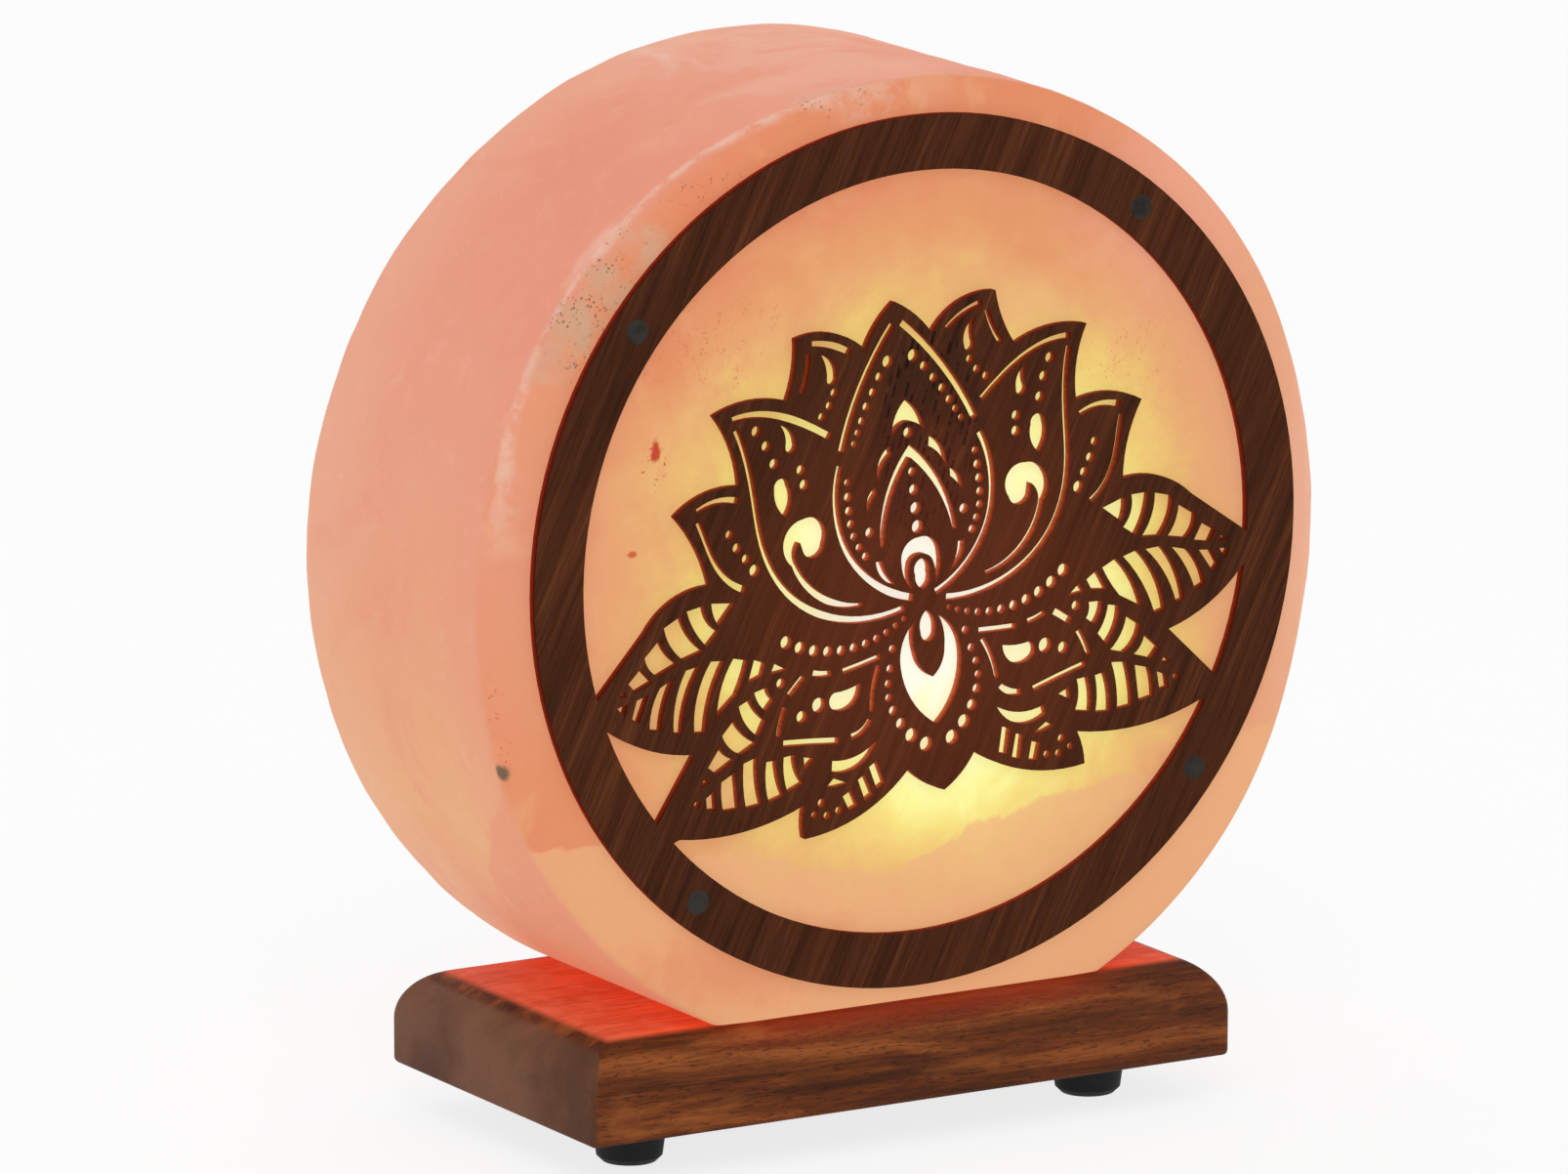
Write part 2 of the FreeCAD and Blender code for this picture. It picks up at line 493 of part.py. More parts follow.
# Openings of the right half, mirrored for the left.
SIDE_OPENINGS = [
    # flames beside the bud
    [(4.7, 23.7), (7.5, 21.0, 8.0, 16.2), (6.6, 19.6, 4.3, 21.7)],
    [(8.8, 16.0), (10.9, 14.2, 11.2, 10.9), (9.9, 13.1, 8.7, 14.4)],
    [(9.0, 0.5), (10.6, 0.5), (9.8, -2.6, 6.4, -5.2), (7.9, -3.0, 9.0, 0.5)],
    # drop in the second petal
    [(18.3, 45.6), (15.5, 43.4, 15.0, 40.3), (16.2, 38.9, 17.6, 40.2), (17.5, 43.0, 18.3, 45.6)],
    # drops and curl in the third petal
    [(29.3, 33.4), (26.7, 31.4, 26.1, 28.9), (27.3, 27.2, 28.7, 28.8), (28.5, 31.2, 29.3, 33.4)],
    [(30.2, 14.4), (28.3, 18.0, 28.7, 20.7), (30.5, 22.6, 32.3, 20.7), (32.3, 18.0, 30.2, 14.4)],
    [(14.6, -7.9), (25.4, -3.6, 30.1, 4.2), (31.0, 10.4, 26.4, 13.2), (22.1, 11.6, 21.9, 7.0),
     (24.2, 4.7, 27.0, 6.1), (27.6, 8.5), (28.7, 6.6, 28.6, 4.2), (24.2, -2.6, 14.6, -7.1)],
    # upper leaf, over its rib
    [(43.8, -0.4), (49.4, 0.8), (49.2, -1.8, 48.1, -4.4)],
    [(50.9, 0.8), (55.2, 0.5), (54.0, -3.6, 51.2, -8.0), (48.2, -5.5), (50.4, -2.6, 50.9, 0.8)],
    [(56.5, -0.1), (60.8, -1.7), (59.8, -5.6, 56.9, -9.4), (52.2, -8.6), (55.2, -4.6, 56.5, -0.1)],
    [(61.9, -3.7), (65.9, -6.8), (65.2, -9.2, 63.2, -11.3), (58.4, -9.9), (60.8, -6.9, 61.9, -3.7)],
    [(67.1, -8.8), (70.2, -11.2), (68.7, -13.4), (64.6, -12.2)],
    [(71.3, -12.5), (72.8, -13.5), (70.8, -13.7)],
    # upper leaf, under its rib
    [(33.4, -16.9), (36.4, -14.8), (37.6, -16.9)],
    [(38.3, -14.4), (41.0, -13.0), (43.0, -17.6), (39.3, -16.8)],
    [(42.3, -12.8), (45.7, -11.6), (49.1, -16.8, 50.9, -23.0), (45.7, -19.4),
     (43.8, -16.2, 42.3, -12.8)],
    [(47.5, -11.6), (50.9, -11.0), (54.6, -16.8, 56.4, -24.9), (53.7, -25.3),
     (51.3, -17.8, 47.5, -11.6)],
    [(53.0, -11.3), (56.8, -11.5), (59.7, -16.8, 61.1, -23.9), (59.1, -24.2),
     (57.0, -17.3, 53.0, -11.3)],
    [(59.3, -12.3), (63.1, -13.7), (65.4, -17.4, 66.5, -21.8), (63.9, -22.6),
     (62.1, -17.0, 59.3, -12.3)],
    [(65.7, -14.4), (68.7, -15.0), (70.2, -18.5), (68.7, -19.9)],
    [(70.7, -15.2), (73.3, -15.6), (71.8, -17.7)],
    # lower leaf, over its rib
    [(38.3, -19.2), (41.7, -19.7), (40.9, -22.3, 39.3, -24.3), (37.3, -22.4),
     (38.2, -20.8, 38.3, -19.2)],
    [(42.8, -20.8), (45.6, -21.7), (44.4, -25.8, 41.6, -29.1), (39.7, -26.2),
     (41.7, -23.6, 42.8, -20.8)],
    [(46.9, -24.1), (50.1, -26.8), (48.7, -29.7, 45.8, -31.8), (42.2, -30.4),
     (45.1, -27.7, 46.9, -24.1)],
    [(50.8, -28.9), (54.1, -32.6), (52.1, -34.5), (47.7, -32.6), (49.7, -31.0, 50.8, -28.9)],
    [(55.0, -34.5), (56.5, -36.2), (54.1, -35.9)],
    # lower leaf, under its rib
    [(29.1, -36.6), (31.9, -35.7), (32.0, -38.6)],
    [(33.7, -34.6), (36.5, -34.6), (36.9, -38.4, 36.4, -42.2), (32.5, -41.1),
     (33.7, -38.0, 33.7, -34.6)],
    [(38.1, -34.8), (40.6, -34.6), (41.3, -39.0, 41.0, -43.2), (37.3, -42.6),
     (38.1, -38.8, 38.1, -34.8)],
    [(42.3, -33.0), (45.9, -33.7), (46.5, -38.6, 46.4, -43.2), (42.5, -43.2),
     (42.9, -38.0, 42.3, -33.0)],
    [(47.8, -34.9), (51.4, -36.3), (51.8, -39.4, 51.7, -42.5), (47.9, -42.8)],
    [(52.9, -37.5), (55.3, -38.8), (55.4, -41.4), (53.1, -41.7)],
    # bottom leaf
    [(14.2, -35.8), (19.2, -38.2, 25.4, -38.0), (25.8, -40.2), (19.0, -40.6, 14.2, -35.8)],
    [(15.0, -40.3), (17.0, -41.3), (15.7, -46.4), (13.6, -45.5)],
    [(18.1, -42.5), (19.9, -43.3), (18.7, -48.2), (16.6, -47.2)],
    [(21.6, -45.0), (23.8, -45.9), (22.6, -49.3), (20.4, -48.7)],
    [(21.8, -43.7), (25.5, -41.7), (27.4, -43.1), (25.2, -43.6)],
    # drop in the lower petal
    [(17.0, -23.4), (20.2, -24.1, 23.3, -24.1), (24.7, -25.9, 23.4, -27.8),
     (19.6, -27.9, 17.0, -23.4)],
]

# Smooth slits of the right half: points along the middle, and the width.
SIDE_SLITS = [
    ([(1.0, 48.4), (5.5, 43.3), (9.5, 37.7), (13.3, 31.0), (15.9, 24.9)], 1.7),
    ([(16.6, 22.0), (18.1, 17.0), (18.4, 11.0), (17.0, 4.4), (13.4, -1.6), (8.2, -6.2),
      (2.6, -8.8)], 1.6),
    ([(11.4, 44.7), (15.8, 47.2), (20.2, 48.3)], 1.4),
    ([(21.2, 46.6), (22.1, 42.6), (23.8, 38.9)], 1.2),
    ([(17.9, 28.5), (24.0, 32.7), (31.0, 36.0), (40.2, 36.9)], 1.5),
    ([(39.6, 34.8), (37.9, 28.0), (37.1, 20.0), (36.6, 12.0), (34.8, 4.6), (30.6, -2.4),
      (23.0, -8.1), (14.0, -10.7), (4.9, -10.4)], 1.5),
    ([(40.6, 20.2), (45.6, 21.2), (50.4, 20.1)], 1.4),
    ([(50.4, 18.0), (48.9, 12.8), (46.9, 7.4), (44.2, 3.8), (41.1, 1.7)], 1.4),
    ([(11.7, -19.1), (16.2, -19.7), (20.8, -20.2)], 1.3),
    ([(12.4, -20.9), (14.1, -25.0), (15.0, -30.0)], 1.2),
    ([(15.6, -31.6), (17.6, -33.4), (20.4, -34.1)], 1.4),
    ([(23.4, -19.9), (25.6, -19.6), (27.8, -18.9)], 1.3),
    ([(29.9, -19.1), (31.8, -20.6), (33.7, -22.2)], 1.5),
    ([(35.1, -24.4), (36.4, -27.4), (37.2, -30.2)], 1.3),
    ([(23.2, -34.2), (29.8, -32.9), (36.3, -31.8)], 1.4),
]

# Round holes of the right half: centre and radius.
SIDE_DOTS = [
    (3.0, 40.9, 1.35), (5.3, 38.2, 1.05), (7.2, 35.4, 1.0), (9.0, 32.8, 1.0), (10.4, 30.1, 0.95),
    (11.6, 27.9, 0.85), (12.7, 25.8, 0.8), (15.2, 18.3, 0.85), (15.4, 15.3, 1.0), (15.5, 12.4, 1.0),
    (15.4, 9.6, 0.95), (15.0, 6.9, 0.9), (14.0, 4.4, 0.9), (12.7, 2.2, 0.95), (11.2, 6.9, 1.1),
    (16.1, 37.3, 0.95), (17.5, 34.9, 0.95), (19.5, 33.0, 0.95),
    (34.9, 33.4, 1.2), (33.0, 29.9, 1.15), (31.6, 25.9, 1.15), (25.6, 23.3, 1.1), (25.2, 20.1, 1.15),
    (43.5, 13.8, 1.0), (42.1, 10.7, 1.1), (40.3, 8.0, 1.05), (38.6, 5.2, 1.3),
    (35.3, -19.3, 1.1), (27.1, -25.8, 1.6), (31.3, -27.3, 1.3),
    (8.7, -18.2, 0.9), (9.7, -22.2, 0.95), (10.5, -25.2, 0.9), (10.7, -28.1, 0.9),
    (10.0, -31.0, 1.05), (8.5, -34.1, 1.2), (6.3, -37.1, 1.5), (3.1, -39.7, 1.55),
    (25.0, -48.6, 0.9), (27.8, -49.0, 0.9), (28.8, -46.1, 0.95), (30.7, -48.2, 0.8),
    (57.4, -39.6, 0.8),
]

# Round holes on the axis, and the row of beads under the flower that grows outwards along an arc.
AXIS_DOTS = [(0, 25.4, 1.15), (0, 17.2, 0.95), (0, 13.4, 1.15), (0, 9.5, 1.3), (0, 5.6, 1.4)]
BEAD_ARC = ((5.4, -12.6), (18.0, -15.9), (33.1, -11.2))
BEAD_COUNT = 11
BEAD_FIRST = 0.65
BEAD_LAST = 1.4
BEAD_CROWDING = 0.25


def drawn(x, z):
    """A point of the drawing, on the panel's own ring."""
    scale = size("ring_inner_radius") / DRAWN_RING
    return FreeCAD.Vector(x * scale, 0, z * scale)


def mirrored(outline):
    """The same outline on the left half."""
    return [tuple(-value if k % 2 == 0 else value for k, value in enumerate(step)) for step in outline]


def both_sides(half):
    """A closed outline from its right half, which starts and ends on the axis of symmetry."""
    back = []
    for step, following in zip(half[-2::-1], half[:0:-1]):
        back.append((*following[:-2], *step[-2:]))
    closed = half + mirrored(back)
    return closed


def outline_wire(outline):
    """The closed wire of an outline."""
    edges = []
    here = outline[0]
    for step in outline[1:]:
        if len(step) == 2:
            edges.append(Part.LineSegment(drawn(*here), drawn(*step)).toShape())
        else:
            edges.append(Part.Arc(drawn(*here), drawn(*step[:2]), drawn(*step[2:])).toShape())
        here = step[-2:]
    if drawn(*here).distanceToPoint(drawn(*outline[0])) > 1e-6:
        edges.append(Part.LineSegment(drawn(*here), drawn(*outline[0])).toShape())
    return Part.Wire(edges)


def slit_wire(points, width):
    """The closed wire of a smooth slit of even width along a curve through the points."""
    middle = Part.BSplineCurve()
    middle.interpolate([drawn(*point) for point in points])
    half = width / 2 * size("ring_inner_radius") / DRAWN_RING
    sides = []
    for sign in (1, -1):
        shifted = []
        for point in points:
            at = drawn(*point)
            along = middle.tangent(middle.parameter(at))[0]
            shifted.append(at + FreeCAD.Vector(-along.z, 0, along.x) * (sign * half))
        curve = Part.BSplineCurve()
        curve.interpolate(shifted)
        sides.append(curve)
    one, two = sides
    far_end = Part.LineSegment(one.EndPoint, two.EndPoint)
    near_end = Part.LineSegment(two.StartPoint, one.StartPoint)
    return Part.Wire([line.toShape() for line in (one, far_end, two, near_end)])


def dot_wire(x, z, radius):
    """The circle of a round hole."""
    scale = size("ring_inner_radius") / DRAWN_RING
    return Part.Wire(Part.makeCircle(radius * scale, drawn(x, z), FreeCAD.Vector(0, 1, 0)))


def bead_row():
    """The beads under the flower along an arc, growing and drawing apart outwards."""
    first, via, last = (FreeCAD.Vector(x, 0, z) for x, z in BEAD_ARC)
    arc = Part.Arc(first, via, last)
    beads = []
    for k in range(BEAD_COUNT):
        share = k / (BEAD_COUNT - 1)
        along = share * (1 - BEAD_CROWDING + BEAD_CROWDING * share)
        point = arc.value(arc.FirstParameter + along * (arc.LastParameter - arc.FirstParameter))
        beads.append((point.x, point.z, BEAD_FIRST + (BEAD_LAST - BEAD_FIRST) * share))
    return beads


def panel_face():
    """The whole panel as one flat face: the ring, the flower across it, and every opening."""
    forward = FreeCAD.Vector(0, 1, 0)
    origin = FreeCAD.Vector()
    rim = Part.Wire(Part.makeCircle(size("ring_outer_radius"), origin, forward))
    opening = Part.Face(Part.Wire(Part.makeCircle(size("ring_inner_radius"), origin, forward)))
    flower = Part.Face(outline_wire(both_sides(SILHOUETTE)))
    wires = [rim] + [face.OuterWire for face in opening.cut(flower).Faces]
    wires += [outline_wire(both_sides(half)) for half in AXIS_OPENINGS + DROP_OPENING]
    for outline in SIDE_OPENINGS:
        wires += [outline_wire(outline), outline_wire(mirrored(outline))]
    for points, width in SIDE_SLITS:
        wires += [slit_wire(points, width), slit_wire(mirrored(points), width)]
    for x, z, radius in SIDE_DOTS + bead_row():
        wires += [dot_wire(x, z, radius), dot_wire(-x, z, radius)]
    wires += [dot_wire(*dot) for dot in AXIS_DOTS]
    return Part.makeFace(wires, "Part::FaceMakerBullseye")


def made_panel():
    """The panel as a sheet against the salt, with countersunk holes for its screws."""
    sheet_face = doc.addObject("Part::Feature", "panel_face")
    sheet_face.Shape = panel_face()
    sheet = doc.addObject("Part::Extrusion", "panel_sheet")
    sheet.Base = sheet_face
    sheet.DirMode = "Custom"
    sheet.Dir = FreeCAD.Vector(0, 1, 0)
    sheet.Solid = True
    bind(sheet, "LengthFwd", "panel_thick")
    sheet.Placement = FreeCAD.Placement(
        panel_point(0, 0, 0), FreeCAD.Rotation(FreeCAD.Vector(0, 1, 0), -size("panel_tilt")))
    place(sheet, "0", f"{SALT_FRONT} - panel_thick", PANEL_CENTRE)
    holes = [towards_salt(f"panel_hole_{k}", screw_shape(), panel_screw_place(angle))
             for k, angle in enumerate(PANEL_SCREW_ANGLES)]
    return less("panel", sheet, holes)


def panel_screw_place(angle):
    """Where a panel screw's head lies in the panel's front face."""
    return panel_point(PIN_CIRCLE, angle, size(f"{SALT_FRONT} - panel_thick"))


def screw_shape():
    """A countersunk screw, drawn upright with its head's face on the origin."""
    head, shank = size("panel_screw_head_radius"), size("panel_screw_radius")
    taper = Part.makeCone(head, shank, head - shank)
    return taper.fuse(Part.makeCylinder(shank, size("panel_screw_length"))).removeSplitter()


subpart("lotus_panel", made_panel())
subpart("panel_screws", group("panel_screw_set", [
    towards_salt(f"panel_screw_{k}", screw_shape(), panel_screw_place(angle))
    for k, angle in enumerate(PANEL_SCREW_ANGLES)
]))

# ---------------------------------------------------------------- lamp holder
subpart("socket_cap", revolved("socket_cap_body", [
    ("cord_inlet_radius", "0"),
    (HOLDER_RADIUS, "0"),
    (HOLDER_RADIUS, "cap_length"),
    (f"{HOLDER_RADIUS} - cap_wall", "cap_length"),
    (f"{HOLDER_RADIUS} - cap_wall", "cap_wall"),
    ("cord_inlet_radius", "cap_wall"),
], HOLDER_X, "0", CAP_BOTTOM))

SPIGOT_RADIUS = f"{HOLDER_RADIUS} - cap_wall - fit_gap"
body_tube = revolved("socket_body_tube", [
    (BODY_BORE, "-1 * spigot_length"),
    (SPIGOT_RADIUS, "-1 * spigot_length"),
    (SPIGOT_RADIUS, "0"),
    (HOLDER_RADIUS, "0"),
    (HOLDER_RADIUS, "body_length"),
    (BODY_BORE, "body_length"),
], HOLDER_X, "0", BODY_BOTTOM)


def holder_level(rise):
    """A height measured from the foot of the holder's body."""
    return size(BODY_BOTTOM) + rise


def side_piece(name, shape, rear):
    """A piece drawn for the holder's rear side, round its axis, or turned to its front side."""
    obj = doc.addObject("Part::Feature", name)
    obj.Shape = shape
    turn = FreeCAD.Rotation(FreeCAD.Vector(0, 0, 1), 0 if rear else 180)
    obj.Placement = FreeCAD.Placement(FreeCAD.Vector(-size("base_shift"), 0, 0), turn)
    return obj


def rivet_rod(radius, near, far):
    """A rod that points from the holder's axis through its rear wall, between two distances."""
    foot = FreeCAD.Vector(0, near, holder_level(size("clip_rivet_rise")))
    return Part.makeCylinder(size(radius), far - near, foot, FreeCAD.Vector(0, 1, 0))


WALL = size(HOLDER_RADIUS)
CLIP_FACE = WALL + size("clip_thick")
CLIP_REACH = math.sqrt(size(f"{BOARD_BORE} - clip_gap") ** 2 - size("clip_width / 2") ** 2)
RIVET_ROOT = WALL - size("clip_rivet_depth")
rivet_holes = [side_piece(f"rivet_hole_{k}", rivet_rod("clip_rivet_radius", RIVET_ROOT, WALL + 1), rear)
               for k, rear in enumerate((True, False))]
subpart("socket_body", less("socket_body_shell", body_tube, rivet_holes))

clip_rivets = []
for side, rear in (("rear", True), ("front", False)):
    middle = WALL + size("clip_thick / 2")
    bent = strip([
        (middle, holder_level(size("clip_upper_end"))),
        (middle, holder_level(size("clip_bend"))),
        (CLIP_REACH - size("clip_thick"), holder_level(-size("clip_drop"))),
        (middle + size("clip_toe_gap"), holder_level(-size("clip_lower_end"))),
    ], size("clip_thick"), size("clip_width"))
    hole = rivet_rod("clip_rivet_radius", RIVET_ROOT, CLIP_FACE + 1)
    subpart(f"spring_clip_{side}", side_piece(f"clip_{side}", bent.cut(hole), rear))
    head = rivet_rod("clip_rivet_head_radius", CLIP_FACE, CLIP_FACE + size("clip_rivet_head"))
    shank = rivet_rod("clip_rivet_radius", RIVET_ROOT, CLIP_FACE)
    clip_rivets.append(side_piece(f"clip_rivet_{side}", head.fuse(shank).removeSplitter(), rear))
subpart("clip_rivets", group("clip_rivet_set", clip_rivets))

TERMINALS = [f"{HOLDER_X} {sign} {TERMINAL_SPREAD}" for sign in ("-", "+")]
block = cylinder("insulator_block", f"{BODY_BORE} - fit_gap", "insulator_thick", HOLDER_X, "0",
                 BODY_BOTTOM)
block_holes = [cylinder(f"terminal_hole_{k}", "terminal_radius", "insulator_thick + 2", x, "0",
                        f"{BODY_BOTTOM} - 1") for k, x in enumerate(TERMINALS)]
subpart("socket_insulator", less("insulator", block, block_holes))

terminal_screws = []
for k, x in enumerate(TERMINALS):
    head = cylinder(f"terminal_top_{k}", "terminal_head_radius", "terminal_head", x, "0",
                    f"{BODY_BOTTOM} - terminal_head")
    shank = cylinder(f"terminal_shank_{k}", "terminal_radius", "insulator_thick", x, "0", BODY_BOTTOM)
    terminal_screws.append(fused(f"terminal_{k}", [head, shank]))
subpart("terminal_screws", group("terminal_screw_set", terminal_screws))

sleeve_outside = cylinder("sleeve_outside", f"{SLEEVE_BORE} + sleeve_thick", "sleeve_length", HOLDER_X, "0",
                          INSULATOR_TOP)
sleeve_inside = cylinder("sleeve_inside", SLEEVE_BORE, "sleeve_length + 2", HOLDER_X, "0",
                         f"{INSULATOR_TOP} - 1")
subpart("threaded_sleeve", less("sleeve", sleeve_outside, [sleeve_inside]))


def made_centre_contact():
    """A bent tongue from the left terminal up to just under the bulb's solder tip."""
    half = size("contact_thick / 2")
    top = size("contact_rise - fit_gap") - half
    bent = strip([
        (-size(f"{TERMINAL_SPREAD} + terminal_radius / 2"), half),
        (-size("bulb_tip_radius"), half),
        (0, top),
        (size("bulb_tip_radius"), top),
    ], size("contact_thick"), size("contact_width"))
    obj = doc.addObject("Part::Feature", "centre_contact_strip")
    obj.Shape = bent
    place_at = FreeCAD.Vector(-size("base_shift"), 0, holder_level(size("insulator_thick")))
    obj.Placement = FreeCAD.Placement(place_at, FreeCAD.Rotation(FreeCAD.Vector(0, 0, 1), -90))
    return obj


subpart("centre_contact", made_centre_contact())
SIDE_CONTACT_START = f"({TERMINAL_SPREAD} - terminal_radius)"
SIDE_CONTACT_END = f"(sqrt({SLEEVE_BORE} ^ 2 - (contact_width / 2) ^ 2) - fit_gap)"
subpart("side_contact", box("side_contact_strip", f"{SIDE_CONTACT_END} - {SIDE_CONTACT_START}",
                            "contact_width", "contact_thick", f"{HOLDER_X} + {SIDE_CONTACT_START}",
                            "-contact_width / 2", INSULATOR_TOP))

# ---------------------------------------------------------------- bulb
NECK_BOTTOM = f"{BULB_CAP_BOTTOM} + bulb_neck_start"
NECK_LENGTH = "bulb_cap_length - bulb_neck_start"
NECK_RADIUS = "(bulb_cap_radius - bulb_cap_wall - bulb_neck_gap)"
TUBE_BOTTOM = f"{BULB_CAP_TOP} + bulb_shoulder"
TUBE_LENGTH = f"{BULB_TOP} - bulb_radius - ( {TUBE_BOTTOM} )"


def glass_solid(name, inset):
    """The bulb's outline as one solid, every radius smaller by the inset expression."""
    tube = f"bulb_radius - {inset}"
    neck = f"{NECK_RADIUS} - {inset}"
    return fused(name, [
        cylinder(name + "_neck", neck, NECK_LENGTH, HOLDER_X, "0", NECK_BOTTOM),
        cone(name + "_shoulder", neck, tube, "bulb_shoulder", HOLDER_X, "0", BULB_CAP_TOP),
        cylinder(name + "_tube", tube, TUBE_LENGTH, HOLDER_X, "0", TUBE_BOTTOM),
        ball(name + "_crown", tube, HOLDER_X, "0", f"{BULB_TOP} - bulb_radius"),
    ])


subpart("bulb_glass", less("glass", glass_solid("glass_outside", "0 * bulb_wall"),
                           [glass_solid("glass_inside", "bulb_wall")]))

screw_cap = cylinder("screw_cap_outside", "bulb_cap_radius", "bulb_cap_length", HOLDER_X, "0",
                     BULB_CAP_BOTTOM)
screw_cap_room = cylinder("screw_cap_inside", "bulb_cap_radius - bulb_cap_wall", "bulb_cap_length + 2",
                          HOLDER_X, "0", f"{BULB_CAP_BOTTOM} - 1")
subpart("bulb_cap", less("screw_cap", screw_cap, [screw_cap_room]))
subpart("bulb_cap_insulator", cone("bulb_foot", "bulb_tip_radius", "bulb_cap_radius", "bulb_foot_length",
                                   HOLDER_X, "0", f"{BULB_BOTTOM} + bulb_tip_length"))
subpart("bulb_tip_contact", cylinder("solder_tip", "bulb_tip_radius", "bulb_tip_length", HOLDER_X, "0",
                                     BULB_BOTTOM))

flare = cylinder("stem_flare", f"{NECK_RADIUS} - bulb_wall - fit_gap", "stem_flare_thick", HOLDER_X, "0",
                 NECK_BOTTOM)
rod = cylinder("stem_rod", "stem_radius", f"{NECK_LENGTH} + stem_length", HOLDER_X, "0", NECK_BOTTOM)
subpart("bulb_stem", fused("stem", [flare, rod]))


def made_leads():
    """Two wires from the stem's top, leaning apart to just under the filament's ends."""
    across = size("lead_spread - stem_radius / 2")
    rise = size(f"{FILAMENT_HEIGHT} - filament_radius - lead_radius - 2 * fit_gap - ({STEM_TOP})")
    wires = []
    for k, side in enumerate((-1, 1)):
        along = FreeCAD.Vector(side * across, 0, rise)
        wire = doc.addObject("Part::Cylinder", f"lead_{k}")
        bind(wire, "Radius", "lead_radius")
        wire.Height = along.Length
        wire.Placement = FreeCAD.Placement(FreeCAD.Vector(),
                                           FreeCAD.Rotation(FreeCAD.Vector(0, 0, 1), along))
        wires.append(place(wire, f"{HOLDER_X} + {side} * stem_radius / 2", "0", f"{STEM_TOP} + fit_gap"))
    return wires


subpart("bulb_lead_wires", group("lead_set", made_leads()))
coil = turned(cylinder("filament_rod", "filament_radius", "2 * lead_spread + 2 * lead_radius"),
              FreeCAD.Vector(0, 1, 0), 90)
subpart("bulb_filament", place(coil, f"{HOLDER_X} - lead_spread - lead_radius", "0", FILAMENT_HEIGHT))

# ---------------------------------------------------------------- checks and files
doc.recompute()
faults = [obj.Name for obj in doc.Objects if "Invalid" in obj.State or "Error" in obj.State]
faults += [obj.Label for obj in subparts if obj.Shape.isNull() or not obj.Shape.isValid()]
faults += [obj.Label for obj in subparts if not obj.Shape.isNull() and not obj.Shape.Solids]
if faults:
    raise RuntimeError("failed objects: " + ", ".join(faults))

os.makedirs("parts", exist_ok=True)
for obj in subparts:
    obj.Shape.exportStep(f"parts/{obj.Label}.step")
    bounds = obj.Shape.BoundBox
    print(f"{obj.Label}: {len(obj.Shape.Solids)} solid(s), {obj.Shape.Volume:.1f} mm3,"
          f" x {bounds.XMin:.2f}..{bounds.XMax:.2f} y {bounds.YMin:.2f}..{bounds.YMax:.2f}"
          f" z {bounds.ZMin:.2f}..{bounds.ZMax:.2f}")
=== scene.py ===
"""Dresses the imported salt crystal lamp: hewn salt, fretwork panel, foot board, holder and bulb.

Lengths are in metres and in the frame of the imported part: X to the right, Y to the rear, Z up.
"""

import logging
import math
from dataclasses import dataclass, field
from enum import Enum
from typing import Any, Callable, ClassVar, Dict, List, Optional, Sequence, Tuple, Union

import bmesh
import bpy
from mathutils import Euler, Matrix, Vector

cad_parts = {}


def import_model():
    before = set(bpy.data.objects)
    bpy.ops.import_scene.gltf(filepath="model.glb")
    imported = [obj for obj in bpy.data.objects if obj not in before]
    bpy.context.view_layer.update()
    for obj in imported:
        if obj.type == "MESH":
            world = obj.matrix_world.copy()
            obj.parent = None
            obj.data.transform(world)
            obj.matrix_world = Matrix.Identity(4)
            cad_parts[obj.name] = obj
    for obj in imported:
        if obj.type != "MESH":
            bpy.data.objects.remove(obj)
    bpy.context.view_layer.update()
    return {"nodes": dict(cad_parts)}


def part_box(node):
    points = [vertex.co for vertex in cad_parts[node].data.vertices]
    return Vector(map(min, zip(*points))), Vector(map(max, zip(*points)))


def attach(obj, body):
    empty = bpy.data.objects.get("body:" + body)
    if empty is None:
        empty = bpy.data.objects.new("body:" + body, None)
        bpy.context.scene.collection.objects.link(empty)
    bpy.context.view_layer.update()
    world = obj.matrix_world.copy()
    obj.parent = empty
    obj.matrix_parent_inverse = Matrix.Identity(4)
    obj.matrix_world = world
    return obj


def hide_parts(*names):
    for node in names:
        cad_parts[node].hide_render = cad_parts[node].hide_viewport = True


log = logging.getLogger("salt_lamp")

Colour = Tuple[float, float, float, float]
Place = Tuple[float, float, float]
Stop = Tuple[float, Colour]
MM = 0.001

BLACK: Colour = (0.0, 0.0, 0.0, 1.0)
WHITE: Colour = (1.0, 1.0, 1.0, 1.0)

# Places that several pieces and finishes share, in millimetres.
BOARD_TOP = 30.0
SALT_FACE = -36.55
DRUM_MIDDLE = 119.5


def tone(red: int, green: int, blue: int) -> Colour:
    """A colour as it is read from a screen, from 0 to 255, as linear light.

    Args:
        red: Red share.
        green: Green share.
        blue: Blue share.

    Returns:
        Linear red, green, blue and a full alpha.
    """
    parts = [share / 255 for share in (red, green, blue)]
    linear = [p / 12.92 if p <= 0.04045 else ((p + 0.055) / 1.055) ** 2.4 for p in parts]
    return (linear[0], linear[1], linear[2], 1.0)


# ---------------------------------------------------------------- shader sheets


